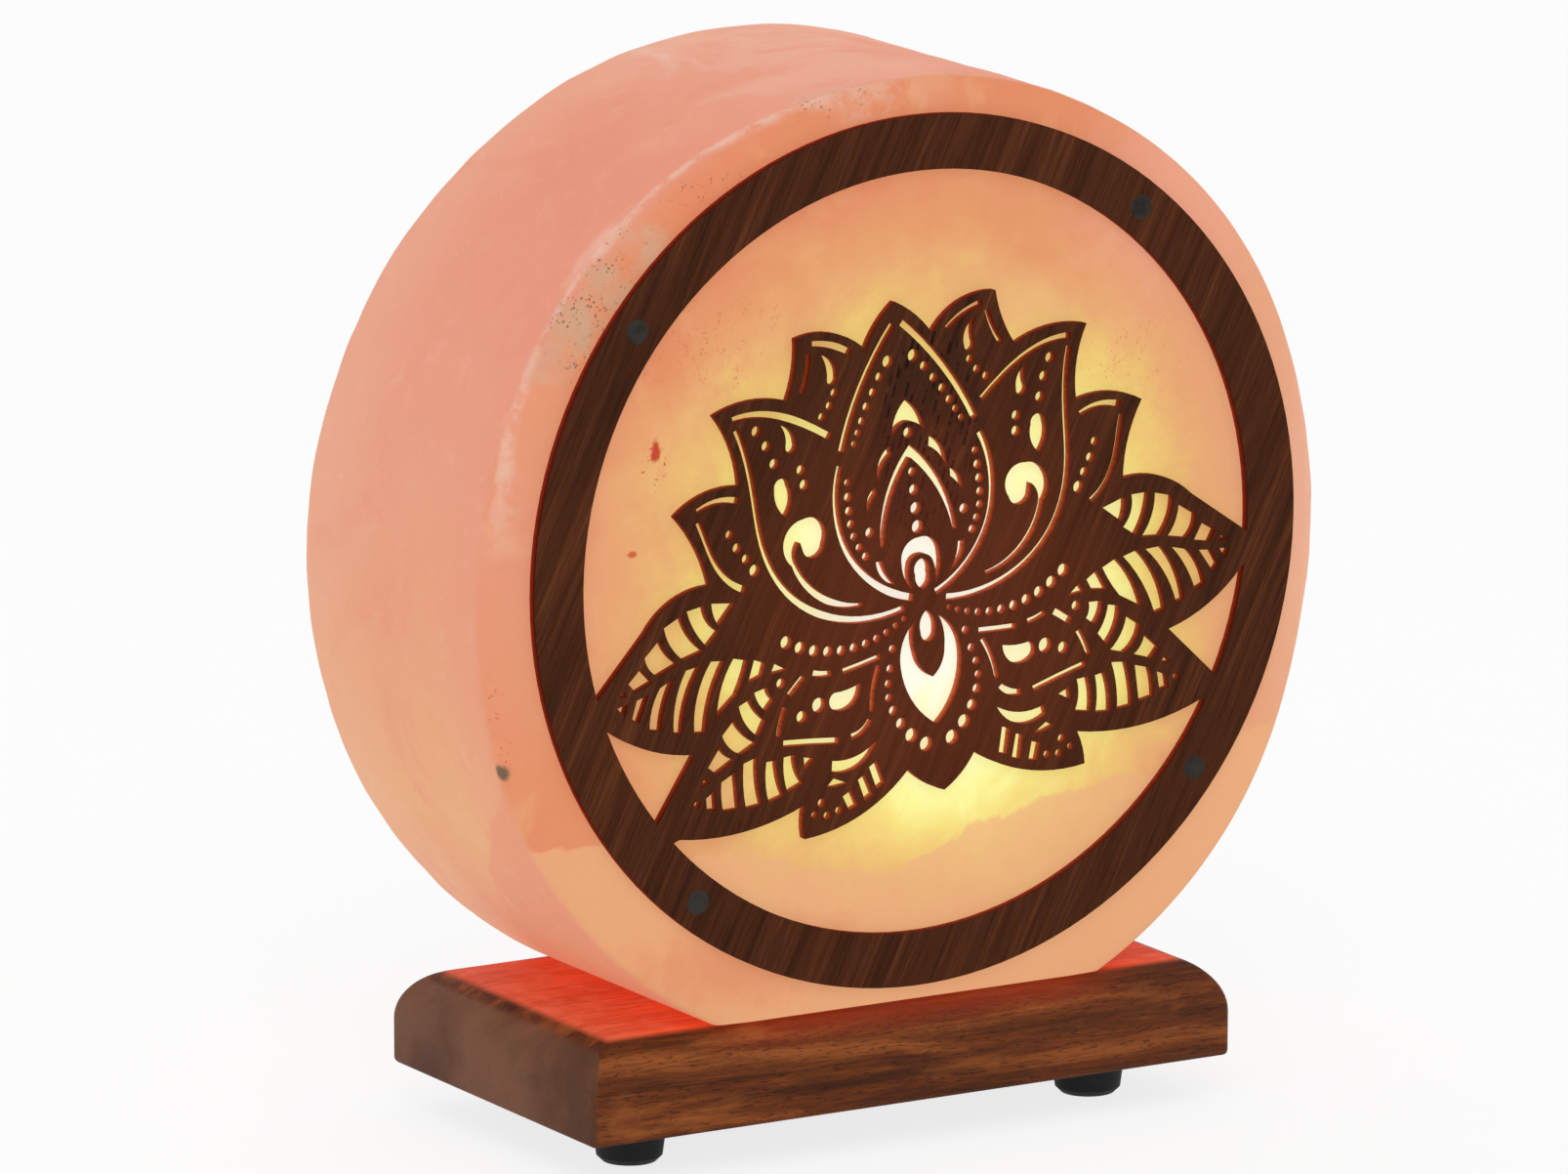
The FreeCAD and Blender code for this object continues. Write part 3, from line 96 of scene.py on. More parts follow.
class Signal:
    """A socket that carries one number, with the operators that shader maths needs."""

    def __init__(self, sheet: "NodeSheet", socket: bpy.types.NodeSocket) -> None:
        """Keeps the socket and the sheet whose nodes it belongs to."""
        self.sheet = sheet
        self.socket = socket

    def maths(self, operation: str, *others: Any, first: Any = None) -> "Signal":
        """Adds one Math node.

        Args:
            operation: The node's operation.
            others: What follows on its sockets.
            first: What goes on its first socket in place of this signal.

        Returns:
            The node's result.
        """
        given = [self if first is None else first, *others]
        node = self.sheet.node(
            "ShaderNodeMath", {"operation": operation}, dict(enumerate(given))
        )
        return Signal(self.sheet, node.outputs[0])

    def __add__(self, other: Any) -> "Signal":
        """Sum."""
        return self.maths("ADD", other)

    __radd__ = __add__

    def __sub__(self, other: Any) -> "Signal":
        """Difference."""
        return self.maths("SUBTRACT", other)

    def __rsub__(self, other: Any) -> "Signal":
        """Difference from a number."""
        return self.maths("SUBTRACT", self, first=other)

    def __mul__(self, other: Any) -> "Signal":
        """Product."""
        return self.maths("MULTIPLY", other)

    __rmul__ = __mul__

    def __truediv__(self, other: Any) -> "Signal":
        """Quotient."""
        return self.maths("DIVIDE", other)

    def __rtruediv__(self, other: Any) -> "Signal":
        """Number over this."""
        return self.maths("DIVIDE", self, first=other)

    def __abs__(self) -> "Signal":
        """Size without sign."""
        return self.maths("ABSOLUTE")

    def root(self) -> "Signal":
        """Square root."""
        return self.maths("SQRT")

    def whole(self) -> "Signal":
        """The whole number below."""
        return self.maths("FLOOR")

    def rest(self) -> "Signal":
        """What is left over the whole number below."""
        return self.maths("FRACT")

    def least(self, other: Any) -> "Signal":
        """The smaller of two."""
        return self.maths("MINIMUM", other)

    def most(self, other: Any) -> "Signal":
        """The larger of two."""
        return self.maths("MAXIMUM", other)

    def turn_from(self, other: "Signal") -> "Signal":
        """Angle in degrees of the point whose height is this and whose reach is the other."""
        return self.maths("ARCTAN2", other) * (180.0 / math.pi)

    def rise(self, low: float, high: float) -> "Signal":
        """A soft step.

        Args:
            low: Where the result leaves 0, or 1 if it is above high.
            high: Where the result reaches 1, or 0 if it is below low.

        Returns:
            A signal from 0 to 1.
        """
        turned = low > high
        node = self.sheet.node(
            "ShaderNodeMapRange",
            {"interpolation_type": "SMOOTHSTEP"},
            {0: self, 1: min(low, high), 2: max(low, high), 3: float(turned), 4: float(not turned)},
        )
        return Signal(self.sheet, node.outputs[0])


Number = Union[float, Signal]
Paint = Union[Colour, bpy.types.NodeSocket]


class NodeSheet:
    """A node tree that is filled through one method."""

    def __init__(self, tree: bpy.types.NodeTree) -> None:
        """Empties the tree and keeps it."""
        self.tree = tree
        self.tree.nodes.clear()

    def node(
        self,
        kind: str,
        settings: Optional[Dict[str, Any]] = None,
        sockets: Optional[Dict[Union[int, str], Any]] = None,
    ) -> bpy.types.Node:
        """Adds a node.

        Args:
            kind: The node's type.
            settings: What is set on the node itself; "stops" fills a colour ramp.
            sockets: Numbers, colours or links for its sockets, by number or name.

        Returns:
            The node.
        """
        made = self.tree.nodes.new(kind)
        for name, value in (settings or {}).items():
            if name == "stops":
                self.fill_ramp(made.color_ramp, value)
            else:
                setattr(made, name, value)
        for key, value in (sockets or {}).items():
            if isinstance(value, Signal):
                self.tree.links.new(value.socket, made.inputs[key])
            elif isinstance(value, bpy.types.NodeSocket):
                self.tree.links.new(value, made.inputs[key])
            else:
                made.inputs[key].default_value = value
        return made

    @staticmethod
    def fill_ramp(ramp: bpy.types.ColorRamp, stops: Sequence[Stop]) -> None:
        """Gives a ramp its stops.

        Args:
            ramp: The ramp.
            stops: Positions from 0 to 1 with their colours.
        """
        while len(ramp.elements) > 1:
            ramp.elements.remove(ramp.elements[-1])
        for number, (position, colour) in enumerate(stops):
            element = ramp.elements[0] if number == 0 else ramp.elements.new(position)
            element.position = position
            element.color = colour


class Sheet(NodeSheet):
    """One material's node sheet, with its object coordinates in millimetres at hand."""

    def __init__(self, name: str) -> None:
        """Starts an empty sheet.

        Args:
            name: The material's name.
        """
        self.material = bpy.data.materials.new(name)
        self.material.use_nodes = True
        super().__init__(self.material.node_tree)
        coordinates = self.node("ShaderNodeTexCoord")
        self.place = coordinates.outputs["Object"]
        self.facing = coordinates.outputs["Normal"]
        self.x, self.y, self.z = [axis * 1000.0 for axis in self.axes(self.place)]

    def axes(self, socket: bpy.types.NodeSocket) -> List[Signal]:
        """The three numbers of a vector."""
        node = self.node("ShaderNodeSeparateXYZ", None, {0: socket})
        return [Signal(self, output) for output in node.outputs]

    def vector(self, x: Number, y: Number, z: Number) -> bpy.types.NodeSocket:
        """A vector of three numbers or signals."""
        return self.node("ShaderNodeCombineXYZ", None, {0: x, 1: y, 2: z}).outputs[0]

    def noise(
        self,
        scale: float,
        detail: float = 3.0,
        rough: float = 0.55,
        warp: float = 0.0,
        at: Optional[bpy.types.NodeSocket] = None,
    ) -> Signal:
        """Cloudy noise.

        Args:
            scale: Features to the metre, or to the unit of the vector given.
            detail: Layers of finer noise.
            rough: Weight of the finer layers.
            warp: How far the noise is pulled out of shape.
            at: Vector that it is read at, object coordinates if left out.

        Returns:
            A signal about 0.5.
        """
        node = self.node(
            "ShaderNodeTexNoise",
            None,
            {
                "Vector": self.place if at is None else at,
                "Scale": scale,
                "Detail": detail,
                "Roughness": rough,
                "Distortion": warp,
            },
        )
        return Signal(self, node.outputs[0])

    def cells(self, scale: float, at: Optional[bpy.types.NodeSocket] = None) -> Signal:
        """Distance to the nearest of many scattered points.

        Args:
            scale: Points to the metre, or to the unit of the vector given.
            at: Vector that it is read at, object coordinates if left out.

        Returns:
            A signal that is 0 at each point.
        """
        vector = self.place if at is None else at
        node = self.node("ShaderNodeTexVoronoi", None, {"Vector": vector, "Scale": scale})
        return Signal(self, node.outputs[0])

    def away(self, x: float, z: float) -> Signal:
        """Distance from a line that runs from front to rear.

        Args:
            x: The line's place from left to right, in millimetres.
            z: Its height, in millimetres.

        Returns:
            The distance in millimetres.
        """
        across = self.x - x
        along = self.z - z
        return (across * across + along * along).root()

    def chance(self, at: bpy.types.NodeSocket) -> Signal:
        """A random number for each whole vector."""
        return Signal(self, self.node("ShaderNodeTexWhiteNoise", None, {0: at}).outputs[0])

    def ramp(self, factor: Signal, stops: Sequence[Stop]) -> bpy.types.NodeSocket:
        """Colours along a signal."""
        return self.node("ShaderNodeValToRGB", {"stops": stops}, {0: factor}).outputs[0]

    def mix(
        self, factor: Number, first: Paint, second: Paint, blend: str = "MIX"
    ) -> bpy.types.NodeSocket:
        """Blends two colours.

        Args:
            factor: 0 for the first colour, 1 for the second.
            first: Colour or link.
            second: Colour or link.
            blend: The Mix node's way of blending.

        Returns:
            The colour.
        """
        node = self.node(
            "ShaderNodeMix",
            {"data_type": "RGBA", "blend_type": blend, "clamp_factor": True},
            {0: factor, 6: first, 7: second},
        )
        return node.outputs[2]

    def bump(self, height: Signal, distance: float, strength: float = 1.0) -> bpy.types.NodeSocket:
        """Relief.

        Args:
            height: Height signal, about 0 to 1.
            distance: Height of 1, in metres.
            strength: Share of the relief that is used.

        Returns:
            The normal.
        """
        node = self.node(
            "ShaderNodeBump",
            None,
            {"Strength": strength, "Distance": distance, "Height": height},
        )
        return node.outputs[0]

    def surface(self, **sockets: Any) -> bpy.types.Material:
        """Closes the sheet with one surface shader.

        Args:
            sockets: Socket names of the shader, with _ for each space, and their values.

        Returns:
            The material.
        """
        named = {name.replace("_", " "): value for name, value in sockets.items()}
        shader = self.node("ShaderNodeBsdfPrincipled", None, named)
        self.node("ShaderNodeOutputMaterial", None, {0: shader.outputs[0]})
        return self.material


# ---------------------------------------------------------------- finishes
# Lengths in the finishes are in millimetres, as the sheet's coordinates are.


@dataclass(frozen=True)
class Finish:
    """What a surface is made of; each kind builds one material."""

    name: str

    def material(self) -> bpy.types.Material:
        """Builds the material."""
        raise NotImplementedError


@dataclass(frozen=True)
class Blotch:
    """A stain, scar or cloud in the salt; lengths in millimetres."""

    centre: Place
    reach: Place
    colour: Colour
    strength: float = 1.0
    ragged: float = 0.8
    soft: float = 0.6
    speckled: bool = False

    def mask(self, s: Sheet, rough: Signal, specks: Signal) -> Signal:
        """Where the blotch lies.

        Args:
            s: The sheet.
            rough: Noise about 0 that frays its edge.
            specks: Small scattered dots, used where the blotch is speckled.

        Returns:
            A signal from 0 to its strength.
        """
        parts = [
            (axis - middle) / reach
            for axis, middle, reach in zip((s.x, s.y, s.z), self.centre, self.reach)
        ]
        away = (parts[0] * parts[0] + parts[1] * parts[1] + parts[2] * parts[2]).root()
        mask = (away + rough * self.ragged).rise(1.0, 1.0 - self.soft) * self.strength
        return mask * specks if self.speckled else mask


@dataclass(frozen=True)
class GlowingSalt(Finish):
    """Rock salt lit from inside: nearly white by the bulb, orange and pink away from it."""

    name: str = "glowing_rock_salt"
    glow_x: float = 3.2
    glow_z: float = 114.0
    reach: float = 110.0
    tall: float = 191.0
    lit_share: float = 0.75
    far_share: float = 0.83
    plain_share: float = 0.36
    glow: Tuple[Stop, ...] = (
        (0.00, tone(252, 250, 236)),
        (0.16, tone(251, 250, 230)),
        (0.24, tone(250, 248, 196)),
        (0.32, tone(250, 248, 174)),
        (0.40, tone(250, 244, 152)),
        (0.46, tone(246, 226, 130)),
        (0.52, tone(243, 206, 119)),
        (0.58, tone(239, 190, 116)),
        (0.64, tone(236, 174, 115)),
        (0.70, tone(234, 163, 110)),
        (0.76, tone(232, 155, 107)),
        (0.85, tone(231, 147, 103)),
        (1.00, tone(229, 141, 101)),
    )
    heights: Tuple[Stop, ...] = (
        (0.00, tone(230, 142, 108)),
        (0.10, tone(233, 160, 121)),
        (0.20, tone(235, 173, 126)),
        (0.33, tone(234, 167, 126)),
        (0.47, tone(233, 160, 126)),
        (0.60, tone(233, 159, 129)),
        (0.73, tone(232, 154, 127)),
        (0.88, tone(231, 150, 123)),
        (0.94, tone(231, 149, 121)),
        (0.98, tone(232, 156, 129)),
        (1.00, tone(234, 166, 141)),
    )
    blotches: Tuple[Blotch, ...] = (
        Blotch((-62.0, -34.5, 190.5), (8.0, 6.0, 8.0), tone(214, 172, 142), 0.75, 1.2, 0.8),
        Blotch((-70.5, -34.5, 184.0), (8.5, 6.0, 8.5), tone(206, 166, 134), 0.85, 1.2, 0.8),
        Blotch((-78.0, -34.5, 177.0), (8.0, 6.0, 8.0), tone(204, 168, 136), 0.8, 1.2, 0.8),
        Blotch((-84.0, -34.5, 170.0), (6.0, 5.0, 8.0), tone(210, 166, 138), 0.6, 1.4, 0.9),
        Blotch((-68.0, -29.5, 188.0), (14.0, 4.0, 14.0), tone(238, 200, 182), 0.4, 1.2, 0.9),
        Blotch((-73.0, -35.0, 181.0), (20.0, 6.0, 20.0), tone(126, 96, 70), 0.85, 1.2, 0.5, True),
        Blotch((-48.0, -35.0, 203.0), (16.0, 5.0, 6.0), tone(176, 92, 66), 0.7, 1.2, 0.7, True),
        Blotch((-20.0, -34.0, 218.0), (15.0, 6.0, 6.0), tone(150, 110, 88), 0.85, 1.2, 0.6, True),
        Blotch((-18.0, -32.0, 218.5), (15.0, 5.0, 5.0), tone(222, 172, 150), 0.4, 1.2, 0.8),
        Blotch((-96.6, -35.6, 88.0), (3.0, 2.6, 2.4), tone(112, 92, 74), 0.95, 0.8, 0.5),
        Blotch((-96.6, -37.0, 91.0), (4.5, 4.0, 6.0), tone(208, 74, 54), 0.9, 1.0, 0.8, True),
        Blotch((-99.0, -36.0, 101.0), (4.5, 4.5, 13.0), tone(216, 96, 74), 0.7, 1.0, 0.8, True),
        Blotch((-60.8, -36.5, 151.1), (1.5, 3.0, 3.0), tone(200, 58, 34), 0.95, 2.2, 0.5),
        Blotch((-61.5, -36.5, 147.5), (4.0, 3.0, 8.0), tone(208, 76, 48), 0.9, 1.6, 0.5, True),
        Blotch((-66.5, -36.5, 129.8), (1.3, 3.0, 0.9), tone(206, 72, 46), 0.85, 1.8, 0.6),
        Blotch((-50.0, -36.5, 172.0), (22.0, 3.0, 14.0), tone(214, 104, 66), 0.55, 1.6, 0.7, True),
        Blotch((52.0, -36.5, 158.0), (22.0, 3.0, 14.0), tone(214, 110, 74), 0.4, 1.6, 0.7, True),
        Blotch((-58.0, -36.5, 168.0), (9.0, 3.0, 14.0), tone(228, 134, 92), 0.45, 1.2, 0.9),
        Blotch((-86.0, 10.0, 75.0), (14.0, 12.0, 10.0), tone(226, 120, 84), 0.6, 1.0, 0.9, True),
        Blotch((-30.0, -36.5, 199.0), (34.0, 4.0, 9.0), tone(230, 134, 100), 0.5, 1.2, 0.9),
        Blotch((62.0, -36.5, 190.0), (34.0, 6.0, 30.0), tone(240, 166, 138), 0.75, 0.8, 0.9),
        Blotch((94.0, -36.5, 118.0), (12.0, 8.0, 60.0), tone(240, 182, 152), 0.6, 0.8, 0.9),
        Blotch((-40.0, -36.5, 42.0), (44.0, 6.0, 13.0), tone(228, 138, 98), 0.6, 0.9, 0.9),
        Blotch((22.0, -36.5, 171.0), (26.0, 3.0, 9.0), tone(238, 178, 124), 0.5, 1.4, 0.9),
    )

    def face_colour(self, s: Sheet, rough: Signal) -> bpy.types.NodeSocket:
        """Colour of the flat front face, by distance from the bulb.

        Args:
            s: The sheet.
            rough: Noise about 0 that frays the borders.

        Returns:
            The colour.
        """
        drift = rough * 30.0 + (s.noise(90, 4, 0.6, 1.0) - 0.5) * 16.0
        across = s.x - self.glow_x
        along = (s.z - self.glow_z) * 1.04
        away = (across * across + along * along).root() + drift
        glow = s.ramp(away / self.reach, self.glow)
        glow = s.mix(s.x.rise(30, 92) * away.rise(62, 92) * 0.6, glow, tone(238, 180, 146))
        cloud = s.noise(46, 6, 0.6, 0.9).rise(0.55, 0.7) * away.rise(30, 60) * 0.32
        glow = s.mix(cloud, glow, tone(240, 182, 128))
        edge = s.z - 60.0 + abs(s.x + 8.0) * -0.16 + rough * 26.0
        crescent = edge.rise(1.0, -0.6) * away.rise(44, 52)
        return s.mix(crescent * 0.72, glow, tone(239, 178, 128))

    def wall_colour(self, s: Sheet, rough: Signal) -> bpy.types.NodeSocket:
        """Colour of the round wall, by height, pinker in front and paler to the rear.

        Args:
            s: The sheet.
            rough: Noise about 0 that frays the borders.

        Returns:
            The colour.
        """
        shift = rough * 40.0
        body = s.ramp((s.z + shift - BOARD_TOP) / self.tall, self.heights)
        body = s.mix(s.y.rise(-12, -36) * 0.45, body, tone(232, 151, 124))
        body = s.mix((s.y + rough * 24.0).rise(4, 38) * 0.34, body, tone(238, 186, 158))
        pale = s.noise(24, 4, 0.55, 0.5).rise(0.5, 0.66) * s.y.rise(4, 34) * s.z.rise(190, 219)
        body = s.mix(pale * 0.8, body, tone(234, 208, 196))
        low = ((88.0 - s.z) * 1.1 - 36.0 - s.y + rough * 22.0).rise(-1.0, 2.5)
        low = low * s.z.rise(96, 86)
        return s.mix(low * 0.75, body, tone(232, 150, 117))

    def rim_line(self, s: Sheet, rough: Signal) -> Signal:
        """Where the broken rim's pale outer edge runs.

        Args:
            s: The sheet.
            rough: Noise about 0 that frays the edge.

        Returns:
            A signal from 0 to 1.
        """
        angle = (s.z - DRUM_MIDDLE).turn_from(s.x)
        edge = angle.rise(92, 125) * angle.rise(170, 140) * 4.4 - 36.0
        band = abs(s.y - edge + rough * 3.0).rise(2.0, 0.3)
        band = band * angle.rise(80, 104) * angle.rise(176, 160)
        band = band * s.away(0.0, DRUM_MIDDLE).rise(93, 96)
        return band * s.noise(160, 4, 0.7).rise(0.36, 0.6)

    def material(self) -> bpy.types.Material:
        """Builds the material.

        Returns:
            The material.
        """
        s = Sheet(self.name)
        rough = s.noise(30, 5, 0.6, 0.7) - 0.5
        fray = s.noise(230, 4, 0.6) - 0.5
        specks = s.cells(1150).rise(0.44, 0.2) * s.noise(420, 3, 0.6).rise(0.48, 0.6)
        grain = s.noise(480, 6, 0.68)
        depth = (s.y + fray * 2.0).rise(SALT_FACE + 0.3, SALT_FACE + 5.0)
        colour = s.mix(depth, self.face_colour(s, rough), self.wall_colour(s, rough))
        pink = s.noise(34, 4, 0.62, 0.9).rise(0.52, 0.72) * depth * 0.42
        colour = s.mix(pink, colour, tone(230, 143, 118))
        veil = s.noise(140, 6, 0.72, 0.4).rise(0.52, 0.78) * depth * 0.26
        colour = s.mix(veil, colour, tone(240, 190, 168))
        band = (s.z - 135.0) * 0.02
        rim = (s.y + rough * 5.0).rise(-31.0, -35.4) * s.x.rise(-60, -92)
        rim = rim * (1.0 - band * band).most(0.0)
        colour = s.mix(rim * 0.3, colour, tone(238, 172, 152))
        colour = s.mix(self.rim_line(s, rough) * 0.5, colour, tone(238, 204, 186))
        for blotch in self.blotches:
            colour = s.mix(blotch.mask(s, fray, specks), colour, blotch.colour)
        colour = s.mix(grain.rise(0.60, 0.74) * depth * 0.22, colour, tone(245, 214, 200))
        waves = s.noise(70, 4, 0.5, 0.3)
        relief = waves * 0.55 + grain * 0.45
        # The bulb's light through the salt is painted glow: the salt's colour goes into the emission
        # as well as the base colour, a little darker away from the bulb and on the round wall.
        far = s.away(self.glow_x, self.glow_z).rise(30, 66).most(depth)
        return s.surface(
            Base_Color=s.mix(1.0 - self.plain_share, colour, BLACK),
            Emission_Color=s.mix(far * (1.0 - self.far_share), colour, BLACK),
            Emission_Strength=self.lit_share,
            Roughness=0.48 + grain * 0.22,
            Specular_IOR_Level=0.14,
            Normal=s.bump(relief, 0.0011, 0.6),
        )


@dataclass(frozen=True)
class PanelVeneer(Finish):
    """Dark veneer with slanting grain, scorched in its middle, with burnt walls lit red; the red
    light on the walls and on the face closer to the bulb is painted.
    """

    name: str = "dark_veneer"
    slant: float = math.radians(64)
    face: float = -38.55
    glow_x: float = 3.2
    glow_z: float = 110.0
    stroke_gap: float = 1.5
    stroke_step: float = 4.2

    def strokes(self, s: Sheet, along: Signal, across: Signal) -> Signal:
        """Short dark strokes burnt into the middle petals.

        Args:
            s: The sheet.
            along: Distance along the strokes.
            across: Distance across them.

        Returns:
            A signal from 0 to 1.
        """
        row = (across / self.stroke_gap).whole()
        shift = s.chance(s.vector(row, 3.0, 1.0)) * 5.0
        step = ((along + shift) / self.stroke_step).whole()
        luck = s.chance(s.vector(row, step, 7.0))
        wide = abs((across / self.stroke_gap).rest() - 0.5).rise(0.30, 0.16)
        long = abs(((along + shift) / self.stroke_step).rest() - 0.5).rise(0.40, 0.30)
        fray = s.noise(900, 3, 0.6).rise(0.36, 0.5)
        return wide * long * luck.rise(0.22, 0.5) * fray

    def petal(self, s: Sheet, middle: Tuple[float, float], reach: Tuple[float, float]) -> Signal:
        """A soft oval on the panel's face.

        Args:
            s: The sheet.
            middle: Its middle, from left to right and upwards.
            reach: Half its width and half its height.

        Returns:
            A signal, 1 inside and 0 outside.
        """
        across = (s.x - middle[0]) / reach[0]
        along = (s.z - middle[1]) / reach[1]
        return (across * across + along * along).rise(1.0, 0.6)

    def material(self) -> bpy.types.Material:
        """Builds the material.

        Returns:
            The material.
        """
        s = Sheet(self.name)
        turn_x, turn_z = math.cos(self.slant), math.sin(self.slant)
        along = s.x * turn_x + s.z * turn_z
        across = s.z * turn_x - s.x * turn_z
        broad = s.noise(1.0, 4, 0.6, 0.4, s.vector(along * 0.012, across * 0.22, 4.0))
        grain = s.noise(1.0, 6, 0.7, 0.3, s.vector(along * 0.016, across * 0.75, 1.0))
        pores = s.noise(1.0, 3, 0.6, 0.0, s.vector(along * 0.10, across * 3.2, 2.0))
        wood = s.ramp(
            broad * 0.45 + grain * 0.55,
            (
                (0.28, tone(40, 18, 8)),
                (0.42, tone(60, 30, 14)),
                (0.54, tone(78, 40, 20)),
                (0.66, tone(102, 56, 30)),
            ),
        )
        wood = s.mix(pores.rise(0.54, 0.68) * 0.6, wood, tone(34, 15, 6))
        wood = s.mix(pores.rise(0.40, 0.30) * 0.18, wood, tone(120, 68, 36))
        scorch = self.petal(s, (2.0, 146.0), (15.0, 27.0)) * s.noise(110, 4, 0.6).rise(0.3, 0.55)
        wood = s.mix(scorch * 0.55, wood, tone(42, 26, 18))
        burnt = self.strokes(s, s.z * 0.96 + s.x * 0.28, s.x * 0.96 - s.z * 0.28)
        wood = s.mix(burnt * self.petal(s, (2.0, 148.0), (13.0, 24.0)), wood, tone(14, 9, 7))
        # The cut walls are burnt wood with painted light on them: the salt's red glow is painted as
        # emission, brighter deeper in towards the salt and closer to the bulb, broken by darker
        # beads; a darker share of it is their base colour.
        sides = abs(s.axes(s.facing)[1]).rise(0.75, 0.35)
        deep = s.y.rise(self.face + 0.1, SALT_FACE - 0.2)
        # Painted light: the bulb's glow makes the veneer face redder and the cut walls brighter
        # towards the middle of the panel.
        bulb_glow = s.away(self.glow_x, self.glow_z).rise(78, 16)
        wood = s.mix(bulb_glow * bulb_glow * 0.4, wood, tone(112, 48, 24))
        beads = s.noise(1.0, 3, 0.6, 0.0, s.vector(s.x * 1.6, s.y * 0.25, s.z * 1.6))
        charred_wall_glow = s.mix(deep, tone(70, 14, 4), tone(142, 36, 12))
        lit = s.mix(deep, tone(140, 48, 22), tone(214, 104, 60))
        wall = s.mix(bulb_glow, charred_wall_glow, lit)
        wall = s.mix(beads.rise(0.3, 0.7) * 0.35, wall, tone(60, 12, 5))
        dark = s.mix(0.6, wall, BLACK)
        return s.surface(
            Base_Color=s.mix(sides, wood, dark),
            Emission_Color=s.mix(sides, BLACK, wall),
            Emission_Strength=0.6,
            Roughness=0.6 + pores * 0.2,
            Specular_IOR_Level=0.06,
            Normal=s.bump(grain * 0.5 + pores * 0.5 - burnt * 0.6, 0.00022, 0.6),
        )


@dataclass(frozen=True)
class BoardWood(Finish):
    """Brown hardwood with dark streaks along its length, red where the salt shines on its top; that
    red light is painted, on the top and on the front edge below the salt.
    """

    name: str = "brown_board_wood"

    def material(self) -> bpy.types.Material:
        """Builds the material.

        Returns:
            The material.
        """
        s = Sheet(self.name)
        bend = (s.noise(14, 2, 0.5) - 0.5) * 8.0
        long_x = s.x * 0.012
        bent = s.vector(long_x, (s.y + bend) * 0.16, (s.z + bend) * 0.2)
        streaks = s.noise(1.0, 5, 0.62, 0.5, bent)
        fibres = s.noise(1.0, 5, 0.7, 0.2, s.vector(s.x * 0.07, s.y * 1.3, s.z * 1.3))
        pores = s.noise(1.0, 2, 0.5, 0.0, s.vector(s.x * 0.45, s.y * 2.6, s.z * 2.6))
        wood = s.ramp(
            streaks * 0.7 + fibres * 0.3,
            (
                (0.34, tone(42, 19, 7)),
                (0.44, tone(78, 37, 13)),
                (0.53, tone(106, 52, 19)),
                (0.64, tone(146, 80, 36)),
            ),
        )
        wood = s.mix(pores.rise(0.57, 0.66) * 0.55, wood, tone(38, 18, 8))
        flecks = s.noise(1.0, 3, 0.6, 0.0, s.vector(s.x * 0.5, s.y * 1.7, s.z * 1.7))
        arris = s.z.rise(BOARD_TOP - 9.0, BOARD_TOP - 1.0) * s.y.rise(-36.0, -39.0)
        wood = s.mix(flecks.rise(0.56, 0.66) * arris * 0.6, wood, tone(40, 18, 8))
        knots = s.noise(1.0, 4, 0.6, 0.4, s.vector(s.x * 0.03, s.y * 0.05, s.z * 0.09))
        wood = s.mix(knots.rise(0.56, 0.7) * 0.5, wood, tone(160, 92, 44))
        facing = s.axes(s.facing)
        ends = abs(facing[0]).rise(0.35, 0.6) * facing[2].rise(0.9, 0.8)
        end_clouds = s.noise(34, 4, 0.5, 0.3)
        end_wood = s.mix(end_clouds.rise(0.35, 0.65), tone(84, 52, 35), tone(120, 80, 58))
        end_wood = s.mix(pores.rise(0.55, 0.7) * 0.3, end_wood, tone(58, 35, 26))
        wood = s.mix(ends * 0.88, wood, end_wood)
        # Painted light: the salt's red-orange glow on the top is painted into the base colour, pinker
        # away from the salt and darker along the grain streaks.
        up = facing[2].rise(0.9, 0.985) * s.z.rise(BOARD_TOP - 1.0, BOARD_TOP - 0.2)
        outside = (abs(s.x) - 46.0).rise(2.0, 30.0)
        streaky = (fibres * 0.6 + streaks * 0.4).rise(0.44, 0.6) * 0.75
        lit = s.mix(streaky, s.mix(outside, tone(232, 88, 46), tone(224, 106, 72)), tone(190, 58, 28))
        patches = s.noise(120, 5, 0.65, 0.3).rise(0.46, 0.7)
        lit = s.mix(patches * 0.5, lit, tone(236, 128, 96))
        wood = s.mix(up * 0.85, wood, lit)
        # The same painted red light again as emission, on the top and on the front edge just under
        # the salt.
        red = s.mix(outside, tone(140, 34, 14), tone(96, 34, 22))
        red = s.mix(streaky, red, tone(92, 18, 8))
        red = s.mix(patches * 0.5, red, tone(120, 44, 34))
        front_glow_spill = s.z.rise(BOARD_TOP - 7.0, BOARD_TOP) * s.y.rise(-30.0, -37.0)
        front_glow_spill = front_glow_spill * (abs(s.x) - 40.0).rise(16.0, -8.0)
        red = s.mix(up.most(front_glow_spill * 0.8), BLACK, red)
        return s.surface(
            Base_Color=wood,
            Emission_Color=red,
            Emission_Strength=1.0,
            Roughness=0.5 + fibres * 0.25,
            Specular_IOR_Level=0.14,
            Normal=s.bump(streaks * 0.3 + fibres * 0.4 - pores * 0.3, 0.0004, 0.6),
        )


@dataclass(frozen=True)
class WornMetal(Finish):
    """Bare or plated metal, with fine scratches and duller spots."""

    colour: Colour
    dull: Colour
    rough: float = 0.28
    metallic: float = 1.0

    def material(self) -> bpy.types.Material:
        """Builds the material.

        Returns:
            The material.
        """
        s = Sheet(self.name)
        spots = s.noise(300, 5, 0.6)
        scratches = s.noise(1.0, 3, 0.6, 0.0, s.vector(s.x * 9.0, s.y * 9.0, s.z * 1.2))
        return s.surface(
            Base_Color=s.mix(spots.rise(0.42, 0.68), self.colour, self.dull),
            Metallic=self.metallic,
            Roughness=self.rough + spots * 0.15 + scratches * 0.1,
            Normal=s.bump(scratches, 0.00006, 0.4),
        )


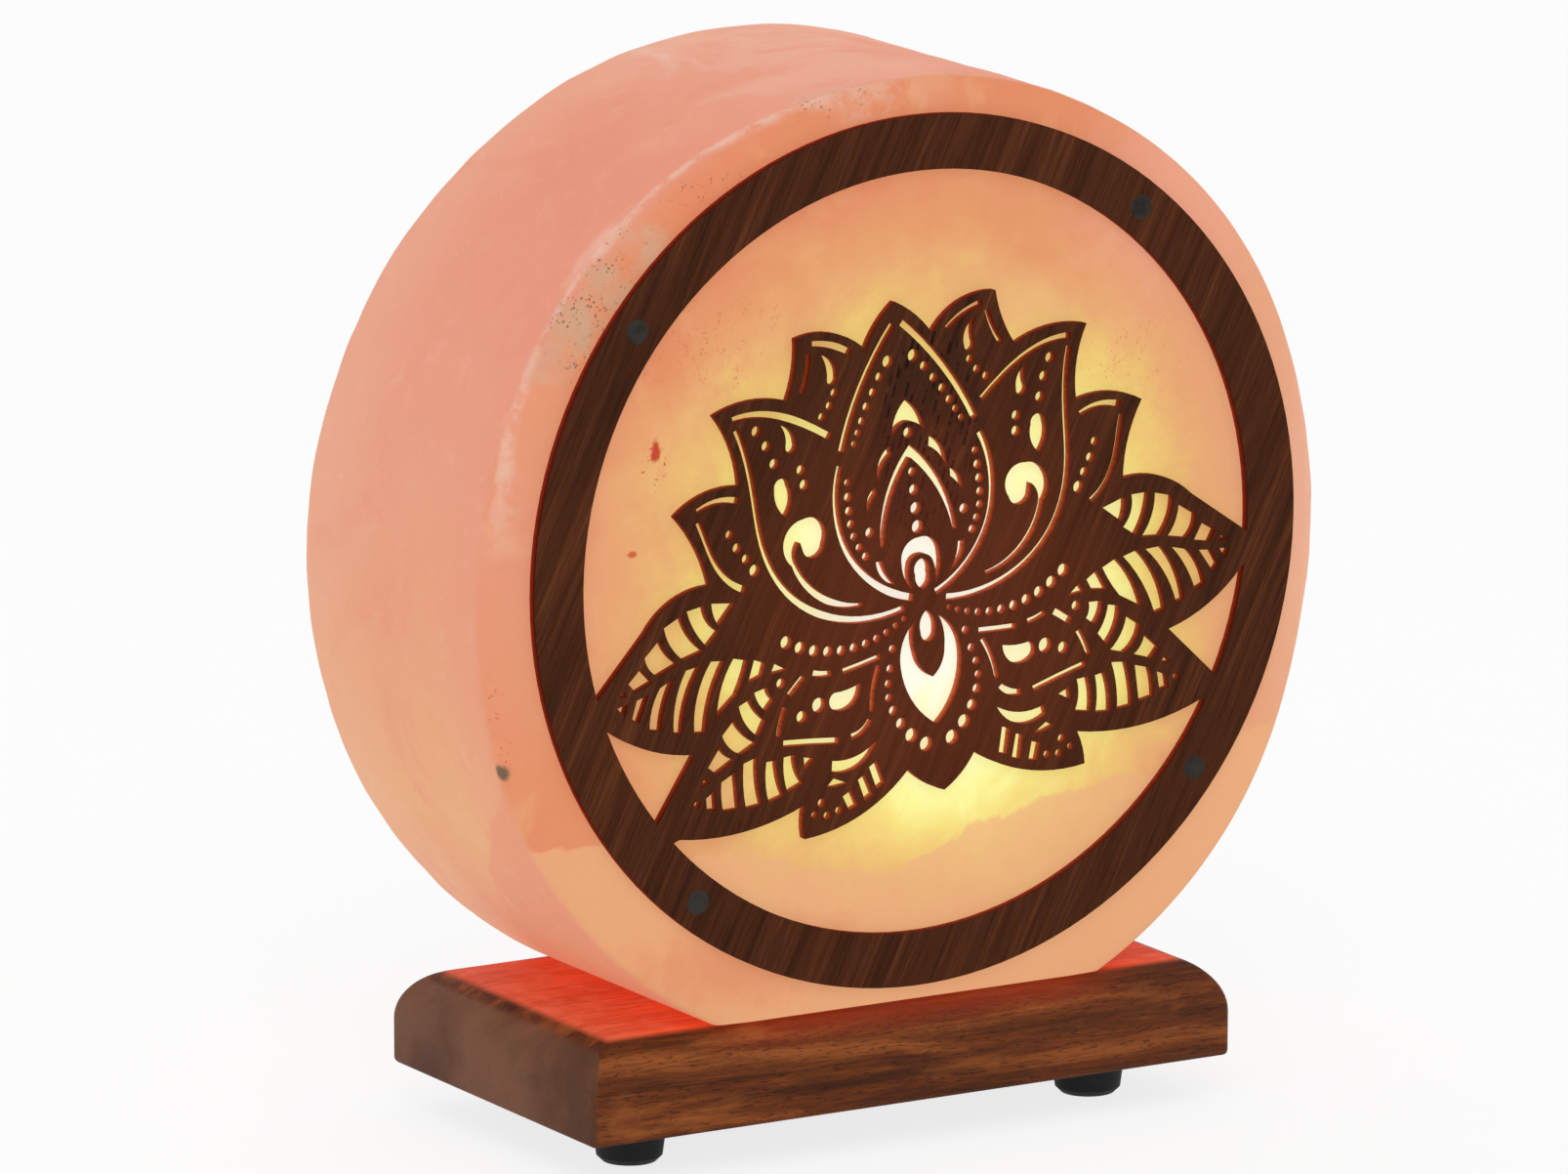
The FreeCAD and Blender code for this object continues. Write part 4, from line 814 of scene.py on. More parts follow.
@dataclass(frozen=True)
class Moulded(Finish):
    """Moulded plastic, nylon, rubber, ceramic or glaze, with its fine skin."""

    colour: Colour
    worn: Colour
    rough: float = 0.45
    skin: float = 900.0
    relief: float = 0.00008
    specular: float = 0.5

    def material(self) -> bpy.types.Material:
        """Builds the material.

        Returns:
            The material.
        """
        s = Sheet(self.name)
        skin = s.noise(self.skin, 3, 0.6)
        clouds = s.noise(70, 4, 0.6)
        return s.surface(
            Base_Color=s.mix(clouds.rise(0.45, 0.75), self.colour, self.worn),
            Roughness=self.rough + skin * 0.12 + clouds * 0.08,
            Specular_IOR_Level=self.specular,
            Normal=s.bump(skin, self.relief, 0.6),
        )


@dataclass(frozen=True)
class BlownGlass(Finish):
    """Thin clear glass with faint flow lines."""

    tint: Colour

    def material(self) -> bpy.types.Material:
        """Builds the material.

        Returns:
            The material.
        """
        s = Sheet(self.name)
        flow = s.noise(1.0, 3, 0.5, 0.6, s.vector(s.x * 0.05, s.y * 0.05, s.z * 0.012))
        return s.surface(
            Base_Color=s.mix(flow.rise(0.4, 0.7), self.tint, WHITE),
            Roughness=0.02 + flow * 0.02,
            Transmission_Weight=1.0,
            IOR=1.05,
            Normal=s.bump(flow, 0.0001, 0.3),
        )


@dataclass(frozen=True)
class HotWire(Finish):
    """Filament wire at white heat."""

    name: str = "hot_wire"

    def material(self) -> bpy.types.Material:
        """Builds the material.

        Returns:
            The material.
        """
        s = Sheet(self.name)
        heat = s.noise(900, 3, 0.5)
        colour = s.mix(heat.rise(0.35, 0.65), tone(255, 214, 140), tone(255, 240, 196))
        return s.surface(
            Base_Color=colour,
            Emission_Color=colour,
            Emission_Strength=6.0,
            Roughness=0.5 + heat * 0.2,
            Normal=s.bump(heat, 0.00002, 0.3),
        )


class Slot(Enum):
    """The record's material slots."""

    SALT = "rock_salt"
    WOOD = "base_wood"
    VENEER = "panel_veneer"
    RUBBER = "black_rubber"
    ZINC = "zinc_steel"
    BLACK_STEEL = "black_steel"
    NYLON = "grey_nylon"
    PLASTIC = "black_plastic"
    SPRING = "spring_steel"
    CERAMIC = "white_ceramic"
    BRASS = "brass"
    CLEAR_GLASS = "bulb_clear_glass"
    STEM_GLASS = "stem_glass"
    NICKEL = "nickel_shell"
    GLAZE = "black_glaze"
    LEAD = "lead_wire"
    TUNGSTEN = "tungsten"


FINISHES: Dict[Slot, Finish] = {
    Slot.SALT: GlowingSalt(),
    Slot.WOOD: BoardWood(),
    Slot.VENEER: PanelVeneer(),
    Slot.RUBBER: Moulded("black_rubber", tone(24, 23, 23), tone(40, 38, 37), 0.6, 700, 0.0002, 0.3),
    Slot.ZINC: WornMetal("zinc_plate", tone(188, 190, 194), tone(150, 152, 158)),
    Slot.BLACK_STEEL: WornMetal("blackened_steel", tone(52, 46, 40), tone(32, 28, 25), 0.55, 0.6),
    Slot.NYLON: Moulded("grey_nylon", tone(150, 152, 154), tone(132, 134, 138), 0.45),
    Slot.PLASTIC: Moulded("black_plastic", tone(26, 26, 28), tone(36, 36, 38), 0.35),
    Slot.SPRING: WornMetal("spring_steel", tone(160, 158, 152), tone(120, 116, 110), 0.3),
    Slot.CERAMIC: Moulded("white_ceramic", tone(232, 228, 218), tone(220, 214, 202), 0.25),
    Slot.BRASS: WornMetal("brass_sheet", tone(205, 170, 98), tone(170, 132, 70), 0.25),
    Slot.CLEAR_GLASS: BlownGlass("clear_bulb_glass", tone(250, 252, 252)),
    Slot.STEM_GLASS: BlownGlass("stem_glass", tone(236, 244, 240)),
    Slot.NICKEL: WornMetal("nickel_plate", tone(206, 202, 192), tone(172, 166, 154), 0.22),
    Slot.GLAZE: Moulded("black_glaze", tone(14, 13, 16), tone(26, 24, 28), 0.12),
    Slot.LEAD: WornMetal("plated_wire", tone(196, 186, 170), tone(150, 138, 120), 0.3),
    Slot.TUNGSTEN: HotWire(),
}


class FinishShelf:
    """Makes each finish once and hands it out."""

    def __init__(self) -> None:
        """Starts with no material made."""
        self.made: Dict[Slot, bpy.types.Material] = {}

    def take(self, slot: Slot) -> bpy.types.Material:
        """The material of a slot.

        Args:
            slot: The slot.

        Returns:
            Its one material, made when it is first asked for.
        """
        if slot not in self.made:
            self.made[slot] = FINISHES[slot].material()
        return self.made[slot]

    def coat(self, piece: bpy.types.Object, slot: Slot) -> None:
        """Gives a piece the one material of a slot.

        Args:
            piece: The piece.
            slot: The slot.
        """
        piece.data.materials.clear()
        piece.data.materials.append(self.take(slot))


# ---------------------------------------------------------------- work bench


Test = Callable[[Vector, Vector], bool]

# A direction runs along an axis if its share of it is above the first, across it below the second.
ALONG = 0.9
ACROSS = 0.1


class Bench:
    """Mesh work as it is done by hand, one piece at a time."""

    @staticmethod
    def leave_edit() -> None:
        """Goes back to object mode."""
        if bpy.context.object is not None and bpy.context.object.mode != "OBJECT":
            bpy.ops.object.mode_set(mode="OBJECT")

    @classmethod
    def clear(cls) -> None:
        """Deselects everything, in object mode."""
        cls.leave_edit()
        bpy.ops.object.select_all(action="DESELECT")

    @classmethod
    def rod(
        cls,
        name: str,
        radius: float,
        low: Place,
        length: float,
        turn: Place = (0.0, 0.0, 0.0),
        sides: int = 48,
    ) -> bpy.types.Object:
        """A round rod.

        Args:
            name: The piece's name.
            radius: Its radius.
            low: Middle of its lower end.
            length: Its length, along Z before it is turned.
            turn: Turn about the lower end, in radians.
            sides: Faces round it.

        Returns:
            The piece, with its place in its mesh.
        """
        cls.clear()
        bpy.ops.mesh.primitive_cylinder_add(vertices=sides, radius=radius, depth=length)
        piece = bpy.context.object
        piece.name = name
        piece.data.name = name
        shift = Matrix.Translation((0, 0, length / 2))
        axes = Euler(turn).to_matrix().to_4x4()
        piece.matrix_world = Matrix.Translation(low) @ axes @ shift
        bpy.ops.object.transform_apply(location=True, rotation=True, scale=True)
        return piece

    @staticmethod
    def pick(piece: bpy.types.Object, test: Test, kind: str = "FACE") -> int:
        """Selects faces, edges or vertices of the piece, which is left in edit mode.

        Args:
            piece: The piece.
            test: Says of a middle point and a normal or direction if it is wanted.
            kind: FACE, EDGE or VERT.

        Returns:
            How many are selected.
        """
        bpy.context.view_layer.objects.active = piece
        bpy.ops.object.mode_set(mode="EDIT")
        bpy.ops.mesh.select_mode(type=kind)
        bpy.ops.mesh.select_all(action="DESELECT")
        mesh = bmesh.from_edit_mesh(piece.data)
        count = 0
        if kind == "FACE":
            for face in mesh.faces:
                if test(face.calc_center_median(), face.normal):
                    face.select_set(True)
                    count += 1
        elif kind == "EDGE":
            for edge in mesh.edges:
                ends = [v.co for v in edge.verts]
                if test((ends[0] + ends[1]) / 2, (ends[1] - ends[0]).normalized()):
                    edge.select_set(True)
                    count += 1
        else:
            for vert in mesh.verts:
                if test(vert.co, vert.normal):
                    vert.select_set(True)
                    count += 1
        bmesh.update_edit_mesh(piece.data)
        return count

    @classmethod
    def twin(cls, node: bpy.types.Object, name: str) -> bpy.types.Object:
        """A copy of a node with a mesh of its own, its loose triangles joined to plain faces.

        Args:
            node: The node.
            name: The copy's name.

        Returns:
            The copy, in edit mode.
        """
        cls.clear()
        piece = bpy.data.objects.new(name, node.data.copy())
        piece.data.name = name
        piece.matrix_world = node.matrix_world
        bpy.context.scene.collection.objects.link(piece)
        piece.select_set(True)
        bpy.context.view_layer.objects.active = piece
        bpy.ops.object.transform_apply(location=True, rotation=True, scale=True)
        cls.pick(piece, lambda at, way: True)
        bpy.ops.mesh.remove_doubles(threshold=0.002 * MM)
        bpy.ops.mesh.normals_make_consistent(inside=False)
        bpy.ops.mesh.dissolve_limited(angle_limit=math.radians(0.5))
        return piece

    @staticmethod
    def weigh(piece: bpy.types.Object, name: str, weight: Callable[[Vector], float]) -> None:
        """Paints a vertex group.

        Args:
            piece: The piece.
            name: The group's name.
            weight: Weight from 0 to 1 at a point.
        """
        bpy.ops.object.mode_set(mode="OBJECT")
        group = piece.vertex_groups.new(name=name)
        for vertex in piece.data.vertices:
            share = weight(vertex.co)
            if share > 0.0:
                group.add([vertex.index], min(share, 1.0), "REPLACE")

    @classmethod
    def apply(cls, piece: bpy.types.Object, kind: str, **settings: Any) -> None:
        """Adds a modifier and applies it.

        Args:
            piece: The piece.
            kind: The modifier's type.
            settings: What is set on it.
        """
        cls.leave_edit()
        bpy.context.view_layer.objects.active = piece
        modifier = piece.modifiers.new(kind.lower(), kind)
        for name, value in settings.items():
            setattr(modifier, name, value)
        bpy.ops.object.modifier_apply(modifier=modifier.name)

    @classmethod
    def shift(cls, piece: bpy.types.Object, way: str, reach: float, group: str) -> None:
        """Moves a piece's points along an axis or its normal, by their weight in a group."""
        cls.apply(piece, "DISPLACE", direction=way, strength=reach, mid_level=0.0, vertex_group=group)

    @classmethod
    def cut(cls, piece: bpy.types.Object, tool: bpy.types.Object) -> None:
        """Takes the tool's room out of the piece, and puts the tool away."""
        cls.apply(piece, "BOOLEAN", operation="DIFFERENCE", object=tool, solver="EXACT")
        bpy.data.objects.remove(tool)

    @classmethod
    def smooth(cls, piece: bpy.types.Object, angle: float) -> None:
        """Shades a piece smooth.

        Args:
            piece: The piece.
            angle: Edges sharper than this stay sharp, in degrees.
        """
        cls.clear()
        piece.select_set(True)
        bpy.context.view_layer.objects.active = piece
        bpy.ops.object.shade_smooth_by_angle(angle=math.radians(angle))
        piece.select_set(False)


# ---------------------------------------------------------------- sub-assemblies


@dataclass
class SubAssembly:
    """Pieces that belong together; those listed keep the shape that they come with."""

    shelf: FinishShelf
    nodes: Dict[str, bpy.types.Object]
    kept: ClassVar[Dict[str, Slot]] = {}

    def dress(self) -> List[bpy.types.Object]:
        """Gives the kept pieces their finishes.

        Returns:
            The kept pieces.
        """
        for name, slot in self.kept.items():
            self.shelf.coat(self.nodes[name], slot)
        return [self.nodes[name] for name in self.kept]

    def finish_off(
        self, piece: bpy.types.Object, slot: Slot, body: str, node: str
    ) -> bpy.types.Object:
        """Hands a new piece in.

        Args:
            piece: The piece.
            slot: Its material slot.
            body: The body that it moves with.
            node: The node whose place it takes.

        Returns:
            The piece.
        """
        self.shelf.coat(piece, slot)
        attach(piece, body)
        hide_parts(node)
        return piece

    def build(self) -> List[bpy.types.Object]:
        """Makes and dresses the pieces."""
        return self.dress()


@dataclass
class FootBoard(SubAssembly):
    """The wooden board, with its arrises eased, on its four rubber feet."""

    ease: float = 1.3 * MM
    ease_steps: int = 3
    touch: float = 0.05 * MM
    corner_reach: float = 8.0 * MM
    mitre_rise: float = 0.2
    smooth_to: float = 30.0
    kept: ClassVar[Dict[str, Slot]] = {
        "foot_front_left": Slot.RUBBER,
        "foot_front_right": Slot.RUBBER,
        "foot_rear_left": Slot.RUBBER,
        "foot_rear_right": Slot.RUBBER,
        "foot_washers": Slot.ZINC,
        "foot_screws": Slot.ZINC,
    }

    def eased_board(self) -> bpy.types.Object:
        """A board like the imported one, its lower and upright outer edges rounded over.

        Returns:
            The board.
        """
        low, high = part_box("wood_base")
        piece = Bench.twin(self.nodes["wood_base"], "eased_board")

        def outer(at: Vector, way: Vector) -> bool:
            """Whether an edge is one of those to ease.

            Args:
                at: Its middle.
                way: Its direction.

            Returns:
                True for the lower outer edges, the upright ones and the mitres above them.
            """
            gaps = [min(at[k] - low[k], high[k] - at[k]) for k in (0, 1)]
            rim = min(gaps) < self.touch and abs(at.z - low[2]) < self.touch
            under = rim and abs(way.z) < ACROSS
            upright = max(gaps) < self.touch and abs(way.z) > ALONG
            corner = abs(gaps[0] - gaps[1]) < self.touch and max(gaps) < self.corner_reach
            mitre = corner and abs(way.z) > self.mitre_rise
            return under or upright or mitre

        edges = Bench.pick(piece, outer, "EDGE")
        bpy.ops.mesh.bevel(
            offset=self.ease, segments=self.ease_steps, affect="EDGES", clamp_overlap=True
        )
        log.info("%s: %d edges eased", piece.name, edges)
        Bench.smooth(piece, self.smooth_to)
        return piece

    def build(self) -> List[bpy.types.Object]:
        """Makes the board and dresses its feet."""
        board = self.finish_off(self.eased_board(), Slot.WOOD, "lamp", "wood_base")
        return [board, *self.dress()]


@dataclass
class SaltDrum(SubAssembly):
    """The hewn salt: an upright drum with a flat foot, a worn front rim and a broken one."""

    radius: float = 101.5 * MM
    front: float = SALT_FACE * MM
    rear: float = 37.95 * MM
    middle: float = DRUM_MIDDLE * MM
    foot: float = BOARD_TOP * MM
    skin_room: float = 0.6 * MM
    touch: float = 0.01 * MM
    skin_gap: float = 0.5 * MM
    skin_fade_back: float = 5.0 * MM
    skin_fade_up: float = 8.0 * MM
    front_round: float = 0.8 * MM
    rear_round: float = 3.0 * MM
    sides: int = 300
    smooth_to: float = 40.0
    wall_loops: int = 58
    face_rings: Tuple[float, ...] = tuple(step * MM for step in (1.5, 1.5, 2.0, 3.0, 6.0, 12.0))
    face_hub: float = 5.0 * MM
    bore_radius: float = 20.0 * MM
    bore_x: float = -2.4 * MM
    bore_top: float = 130.0 * MM
    run_in: float = 5.0 * MM
    worn_depth: float = 7.0 * MM
    worn_length: float = 12.0 * MM
    worn_reach: float = 9.0 * MM
    worn_least: float = 0.22
    worn_angle: float = -2.0
    worn_spread: float = 22.0
    worn_end: float = 88.0
    worn_fade: float = 25.0
    broken_depth: float = 5.0 * MM
    broken_length: float = 12.0 * MM
    broken_reach: float = 4.0 * MM
    broken_least: float = 0.16
    broken_angle: float = 134.0
    broken_spread: float = 17.0
    broken_jags: Tuple[Tuple[float, float], ...] = ((0.16, 7.0), (0.1, 17.0))
    plug_radius: float = 4.0 * MM
    plug_places: Tuple[float, float] = (32.0 * MM, 20.0 * MM)
    plug_top: float = 62.0 * MM
    skins: List[Tuple[str, float, float]] = field(
        default_factory=lambda: [("swell", 0.045, 1.1 * MM), ("hewing", 0.011, 0.5 * MM)]
    )

    def angle(self, point: Vector) -> float:
        """Angle round the drum in degrees, 0 to the right and 90 above."""
        return math.degrees(math.atan2(point.z - self.middle, point.x))

    def out(self, point: Vector) -> float:
        """Distance from the drum's axis."""
        return math.hypot(point.x, point.z - self.middle)

    def worn(self, point: Vector) -> float:
        """How far the right-hand rim is rubbed away.

        Args:
            point: A point of the drum.

        Returns:
            A share from 0 to 1.
        """
        angle = self.angle(point)
        back = (point.y - self.front) / self.worn_length
        edge = (self.out(point) - self.radius + self.worn_reach) / self.worn_reach
        if back >= 1 or edge < 0:
            return 0.0
        hill = math.exp(-((angle - self.worn_angle) ** 2) / (2 * self.worn_spread**2))
        share = self.worn_least + (1 - self.worn_least) * hill
        fade = min(1.0, max(0.0, (self.worn_end - abs(angle)) / self.worn_fade))
        return share * fade * (1 - back) ** 2 * min(1.0, edge)

    def broken(self, point: Vector) -> float:
        """How far the upper left-hand rim is broken back.

        Args:
            point: A point of the drum.

        Returns:
            A share from 0 to about 1.
        """
        angle = self.angle(point)
        angle = angle if angle > 0 else angle + 360
        back = (point.y - self.front) / self.broken_length
        edge = (self.out(point) - self.radius + self.broken_reach) / self.broken_reach
        if back >= 1 or edge <= 0:
            return 0.0
        hill = math.exp(-((angle - self.broken_angle) ** 2) / (2 * self.broken_spread**2))
        jags = sum(size * math.sin(math.radians(angle * turns)) for size, turns in self.broken_jags)
        share = self.broken_least + (1 - self.broken_least) * hill * (1 + jags)
        return max(0.0, share) * (1 - back) * min(1.0, edge)

    def skin(self, point: Vector) -> float:
        """Where the hewn skin may stand in or out: not on the faces that carry something.

        Args:
            point: A point of the drum.

        Returns:
            A share from 0 to 1.
        """
        back = point.y - self.front
        up = point.z - self.foot
        if back < self.skin_gap or up < self.skin_gap:
            return 0.0
        return min(1.0, back / self.skin_fade_back) * min(1.0, up / self.skin_fade_up)

    def turn_blank(self) -> bpy.types.Object:
        """The plain drum with its rims rounded, loops along its wall and rings on its faces.

        Returns:
            The drum.
        """
        depth = self.rear - self.front
        piece = Bench.rod(
            "salt_block",
            self.radius - self.skin_room,
            (0.0, self.rear, self.middle),
            depth,
            (math.radians(90), 0.0, 0.0),
            self.sides,
        )
        for end, size, steps in ((self.front, self.front_round, 2), (self.rear, self.rear_round, 5)):
            Bench.pick(
                piece, lambda at, way: abs(way.y) < ACROSS and abs(at.y - end) < self.touch, "EDGE"
            )
            bpy.ops.mesh.bevel(offset=size, segments=steps, affect="EDGES")
        Bench.pick(piece, lambda at, way: abs(way.y) > ALONG and abs(at.y) < depth / 4, "EDGE")
        bpy.ops.mesh.subdivide(number_cuts=self.wall_loops)
        for step in self.face_rings:
            Bench.pick(piece, lambda at, way: abs(way.y) > ALONG and self.out(at) < self.face_hub)
            bpy.ops.mesh.inset(thickness=step, use_even_offset=True)
        return piece

    def wear_rims(self, piece: bpy.types.Object) -> None:
        """Rubs the right-hand rim away and breaks the upper left one back.

        Args:
            piece: The drum.
        """
        Bench.weigh(piece, "worn", self.worn)
        Bench.shift(piece, "X", -self.worn_depth, "worn")
        Bench.weigh(piece, "broken", self.broken)
        Bench.shift(piece, "Y", self.broken_depth, "broken")

    def hew_skin(self, piece: bpy.types.Object) -> None:
        """Gives the wall its uneven skin.

        Args:
            piece: The drum.
        """
        Bench.weigh(piece, "skin", self.skin)
        for name, size, height in self.skins:
            texture = bpy.data.textures.new(name, "CLOUDS")
            texture.noise_scale = size
            texture.noise_depth = 3
            Bench.apply(
                piece,
                "DISPLACE",
                texture=texture,
                strength=height,
                mid_level=0.5,
                texture_coords="LOCAL",
                vertex_group="skin",
            )

    def saw_foot(self, piece: bpy.types.Object) -> None:
        """Saws the flat foot.

        Args:
            piece: The drum.
        """
        Bench.pick(piece, lambda at, way: True)
        bpy.ops.mesh.bisect(
            plane_co=(0, 0, self.foot), plane_no=(0, 0, 1), clear_inner=True, use_fill=True
        )
        Bench.leave_edit()

    def bore(self, piece: bpy.types.Object) -> None:
        """Bores the room for the bulb and the holes for the anchor plugs.

        Args:
            piece: The drum.
        """
        low = self.foot - self.run_in
        tall = self.bore_top - low
        hole = Bench.rod("bore", self.bore_radius, (self.bore_x, 0, low), tall, sides=96)
        Bench.cut(piece, hole)
        across, deep = self.plug_places
        tall = self.plug_top - low
        for x in (-across, across):
            for y in (-deep, deep):
                hole = Bench.rod("plug_hole", self.plug_radius, (x, y, low), tall, sides=32)
                Bench.cut(piece, hole)

    def build(self) -> List[bpy.types.Object]:
        """Makes and dresses the salt.

        Returns:
            The block.
        """
        piece = self.turn_blank()
        self.wear_rims(piece)
        self.hew_skin(piece)
        self.saw_foot(piece)
        self.bore(piece)
        Bench.smooth(piece, self.smooth_to)
        return [self.finish_off(piece, Slot.SALT, "lamp", "salt_drum")]


class Fixings(SubAssembly):
    """Screws from under the board, in their plugs in the salt."""

    kept: ClassVar[Dict[str, Slot]] = {"base_screws": Slot.ZINC, "salt_plugs": Slot.NYLON}


class LotusPanel(SubAssembly):
    """The fretwork panel and its screws."""

    kept: ClassVar[Dict[str, Slot]] = {"lotus_panel": Slot.VENEER, "panel_screws": Slot.BLACK_STEEL}


@dataclass
class RolledThread:
    """A thin round shell with a thread rolled into it."""

    name: str
    radius: float
    depth: float
    wall: float
    axis_x: float
    low: float
    high: float
    pitch: float = 2.8 * MM
    plain: float = 1.4 * MM
    sides: int = 72
    rows: int = 60
    smooth_to: float = 50.0

    @classmethod
    def in_box(cls, name: str, node: str, depth: float, wall: float) -> "RolledThread":
        """A threaded shell that fills the box of a node.

        Args:
            name: The shell's name.
            node: The node.
            depth: How far the thread stands out.
            wall: The sheet's thickness.

        Returns:
            The shell's sizes.
        """
        low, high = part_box(node)
        radius = (high[0] - low[0]) / 2
        return cls(name, radius, depth, wall, (low[0] + high[0]) / 2, low[2], high[2])

    def crest(self, point: Vector) -> float:
        """How far the shell stands out.

        Args:
            point: A point of the shell.

        Returns:
            A share from 0 in the groove to 1 on the crest.
        """
        turn = math.atan2(point.y, point.x - self.axis_x)
        wave = 0.5 + 0.5 * math.cos(math.tau * (point.z - self.low) / self.pitch - turn)
        fade = min(point.z - self.low, self.high - point.z) / self.plain
        return wave * min(1.0, max(0.0, fade))

    def build(self) -> bpy.types.Object:
        """Makes the shell, open at both ends.

        Returns:
            The shell.
        """
        length = self.high - self.low
        low = (self.axis_x, 0, self.low)
        piece = Bench.rod(self.name, self.radius - self.depth, low, length, sides=self.sides)
        Bench.pick(piece, lambda at, way: abs(way.z) > ALONG)
        bpy.ops.mesh.delete(type="FACE")
        Bench.pick(piece, lambda at, way: abs(way.z) > ALONG, "EDGE")
        bpy.ops.mesh.subdivide(number_cuts=self.rows)
        Bench.weigh(piece, "thread", self.crest)
        Bench.shift(piece, "NORMAL", self.depth, "thread")
        Bench.apply(piece, "SOLIDIFY", thickness=self.wall, offset=-1.0)
        Bench.smooth(piece, self.smooth_to)
        return piece


@dataclass
class LampHolder(SubAssembly):
    """The holder with its clips and contacts, and its threaded sleeve."""

    thread_depth: float = 0.4 * MM
    thread_wall: float = 0.3 * MM
    kept: ClassVar[Dict[str, Slot]] = {
        "socket_cap": Slot.PLASTIC,
        "socket_body": Slot.PLASTIC,
        "spring_clip_rear": Slot.SPRING,
        "spring_clip_front": Slot.SPRING,
        "clip_rivets": Slot.SPRING,
        "socket_insulator": Slot.CERAMIC,
        "terminal_screws": Slot.BRASS,
        "centre_contact": Slot.BRASS,
        "side_contact": Slot.BRASS,
    }

    def build(self) -> List[bpy.types.Object]:
        """Makes the sleeve and dresses the rest.

        Returns:
            The holder's pieces.
        """
        node = "threaded_sleeve"
        thread = RolledThread.in_box("sleeve_thread", node, self.thread_depth, self.thread_wall)
        sleeve = self.finish_off(thread.build(), Slot.BRASS, "holder", node)
        return [sleeve, *self.dress()]


@dataclass
class Bulb(SubAssembly):
    """The tubular bulb, with a rolled cap and a coiled filament."""

    thread_depth: float = 0.55 * MM
    thread_wall: float = 0.35 * MM
    wire: float = 0.11 * MM
    coils: int = 26
    coil_steps: int = 14
    wire_sides: int = 8
    smooth_to: float = 60.0
    kept: ClassVar[Dict[str, Slot]] = {
        "bulb_glass": Slot.CLEAR_GLASS,
        "bulb_cap_insulator": Slot.GLAZE,
        "bulb_tip_contact": Slot.BRASS,
        "bulb_stem": Slot.STEM_GLASS,
        "bulb_lead_wires": Slot.LEAD,
    }

    def coiled_filament(self) -> bpy.types.Object:
        """One wire wound about the line of the filament.

        Returns:
            The coil.
        """
        low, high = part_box("bulb_filament")
        length = high[0] - low[0] - 2 * self.wire
        centre = (low[0] + self.wire, (low[1] + high[1]) / 2, (low[2] + high[2]) / 2)
        Bench.clear()
        bpy.ops.mesh.primitive_circle_add(
            vertices=self.wire_sides,
            radius=self.wire,
            location=centre,
            rotation=(math.radians(90), 0, 0),
        )
        piece = bpy.context.object
        piece.name = "filament_coil"
        bpy.ops.object.transform_apply(location=False, rotation=True, scale=True)
        bpy.ops.object.mode_set(mode="EDIT")
        bpy.ops.mesh.select_all(action="SELECT")
        bpy.ops.transform.translate(value=(0, 0, (high[2] - low[2]) / 2 - self.wire))
        steps = self.coils * self.coil_steps
        Bench.apply(
            piece,
            "SCREW",
            axis="X",
            angle=math.tau * self.coils,
            screw_offset=length,
            steps=steps,
            render_steps=steps,
        )
        Bench.pick(piece, lambda at, way: True)
        bpy.ops.mesh.normals_make_consistent(inside=False)
        Bench.leave_edit()
        bpy.ops.object.transform_apply(location=True, rotation=True, scale=True)
        Bench.smooth(piece, self.smooth_to)
        return piece

    def build(self) -> List[bpy.types.Object]:
        """Makes the cap and the filament and dresses the rest.

        Returns:
            The bulb's pieces.
        """
        node = "bulb_cap"
        shell = RolledThread.in_box("bulb_cap_shell", node, self.thread_depth, self.thread_wall)
        cap = self.finish_off(shell.build(), Slot.NICKEL, "bulb", node)
        coil = self.finish_off(self.coiled_filament(), Slot.TUNGSTEN, "bulb", "bulb_filament")
        return [cap, coil, *self.dress()]


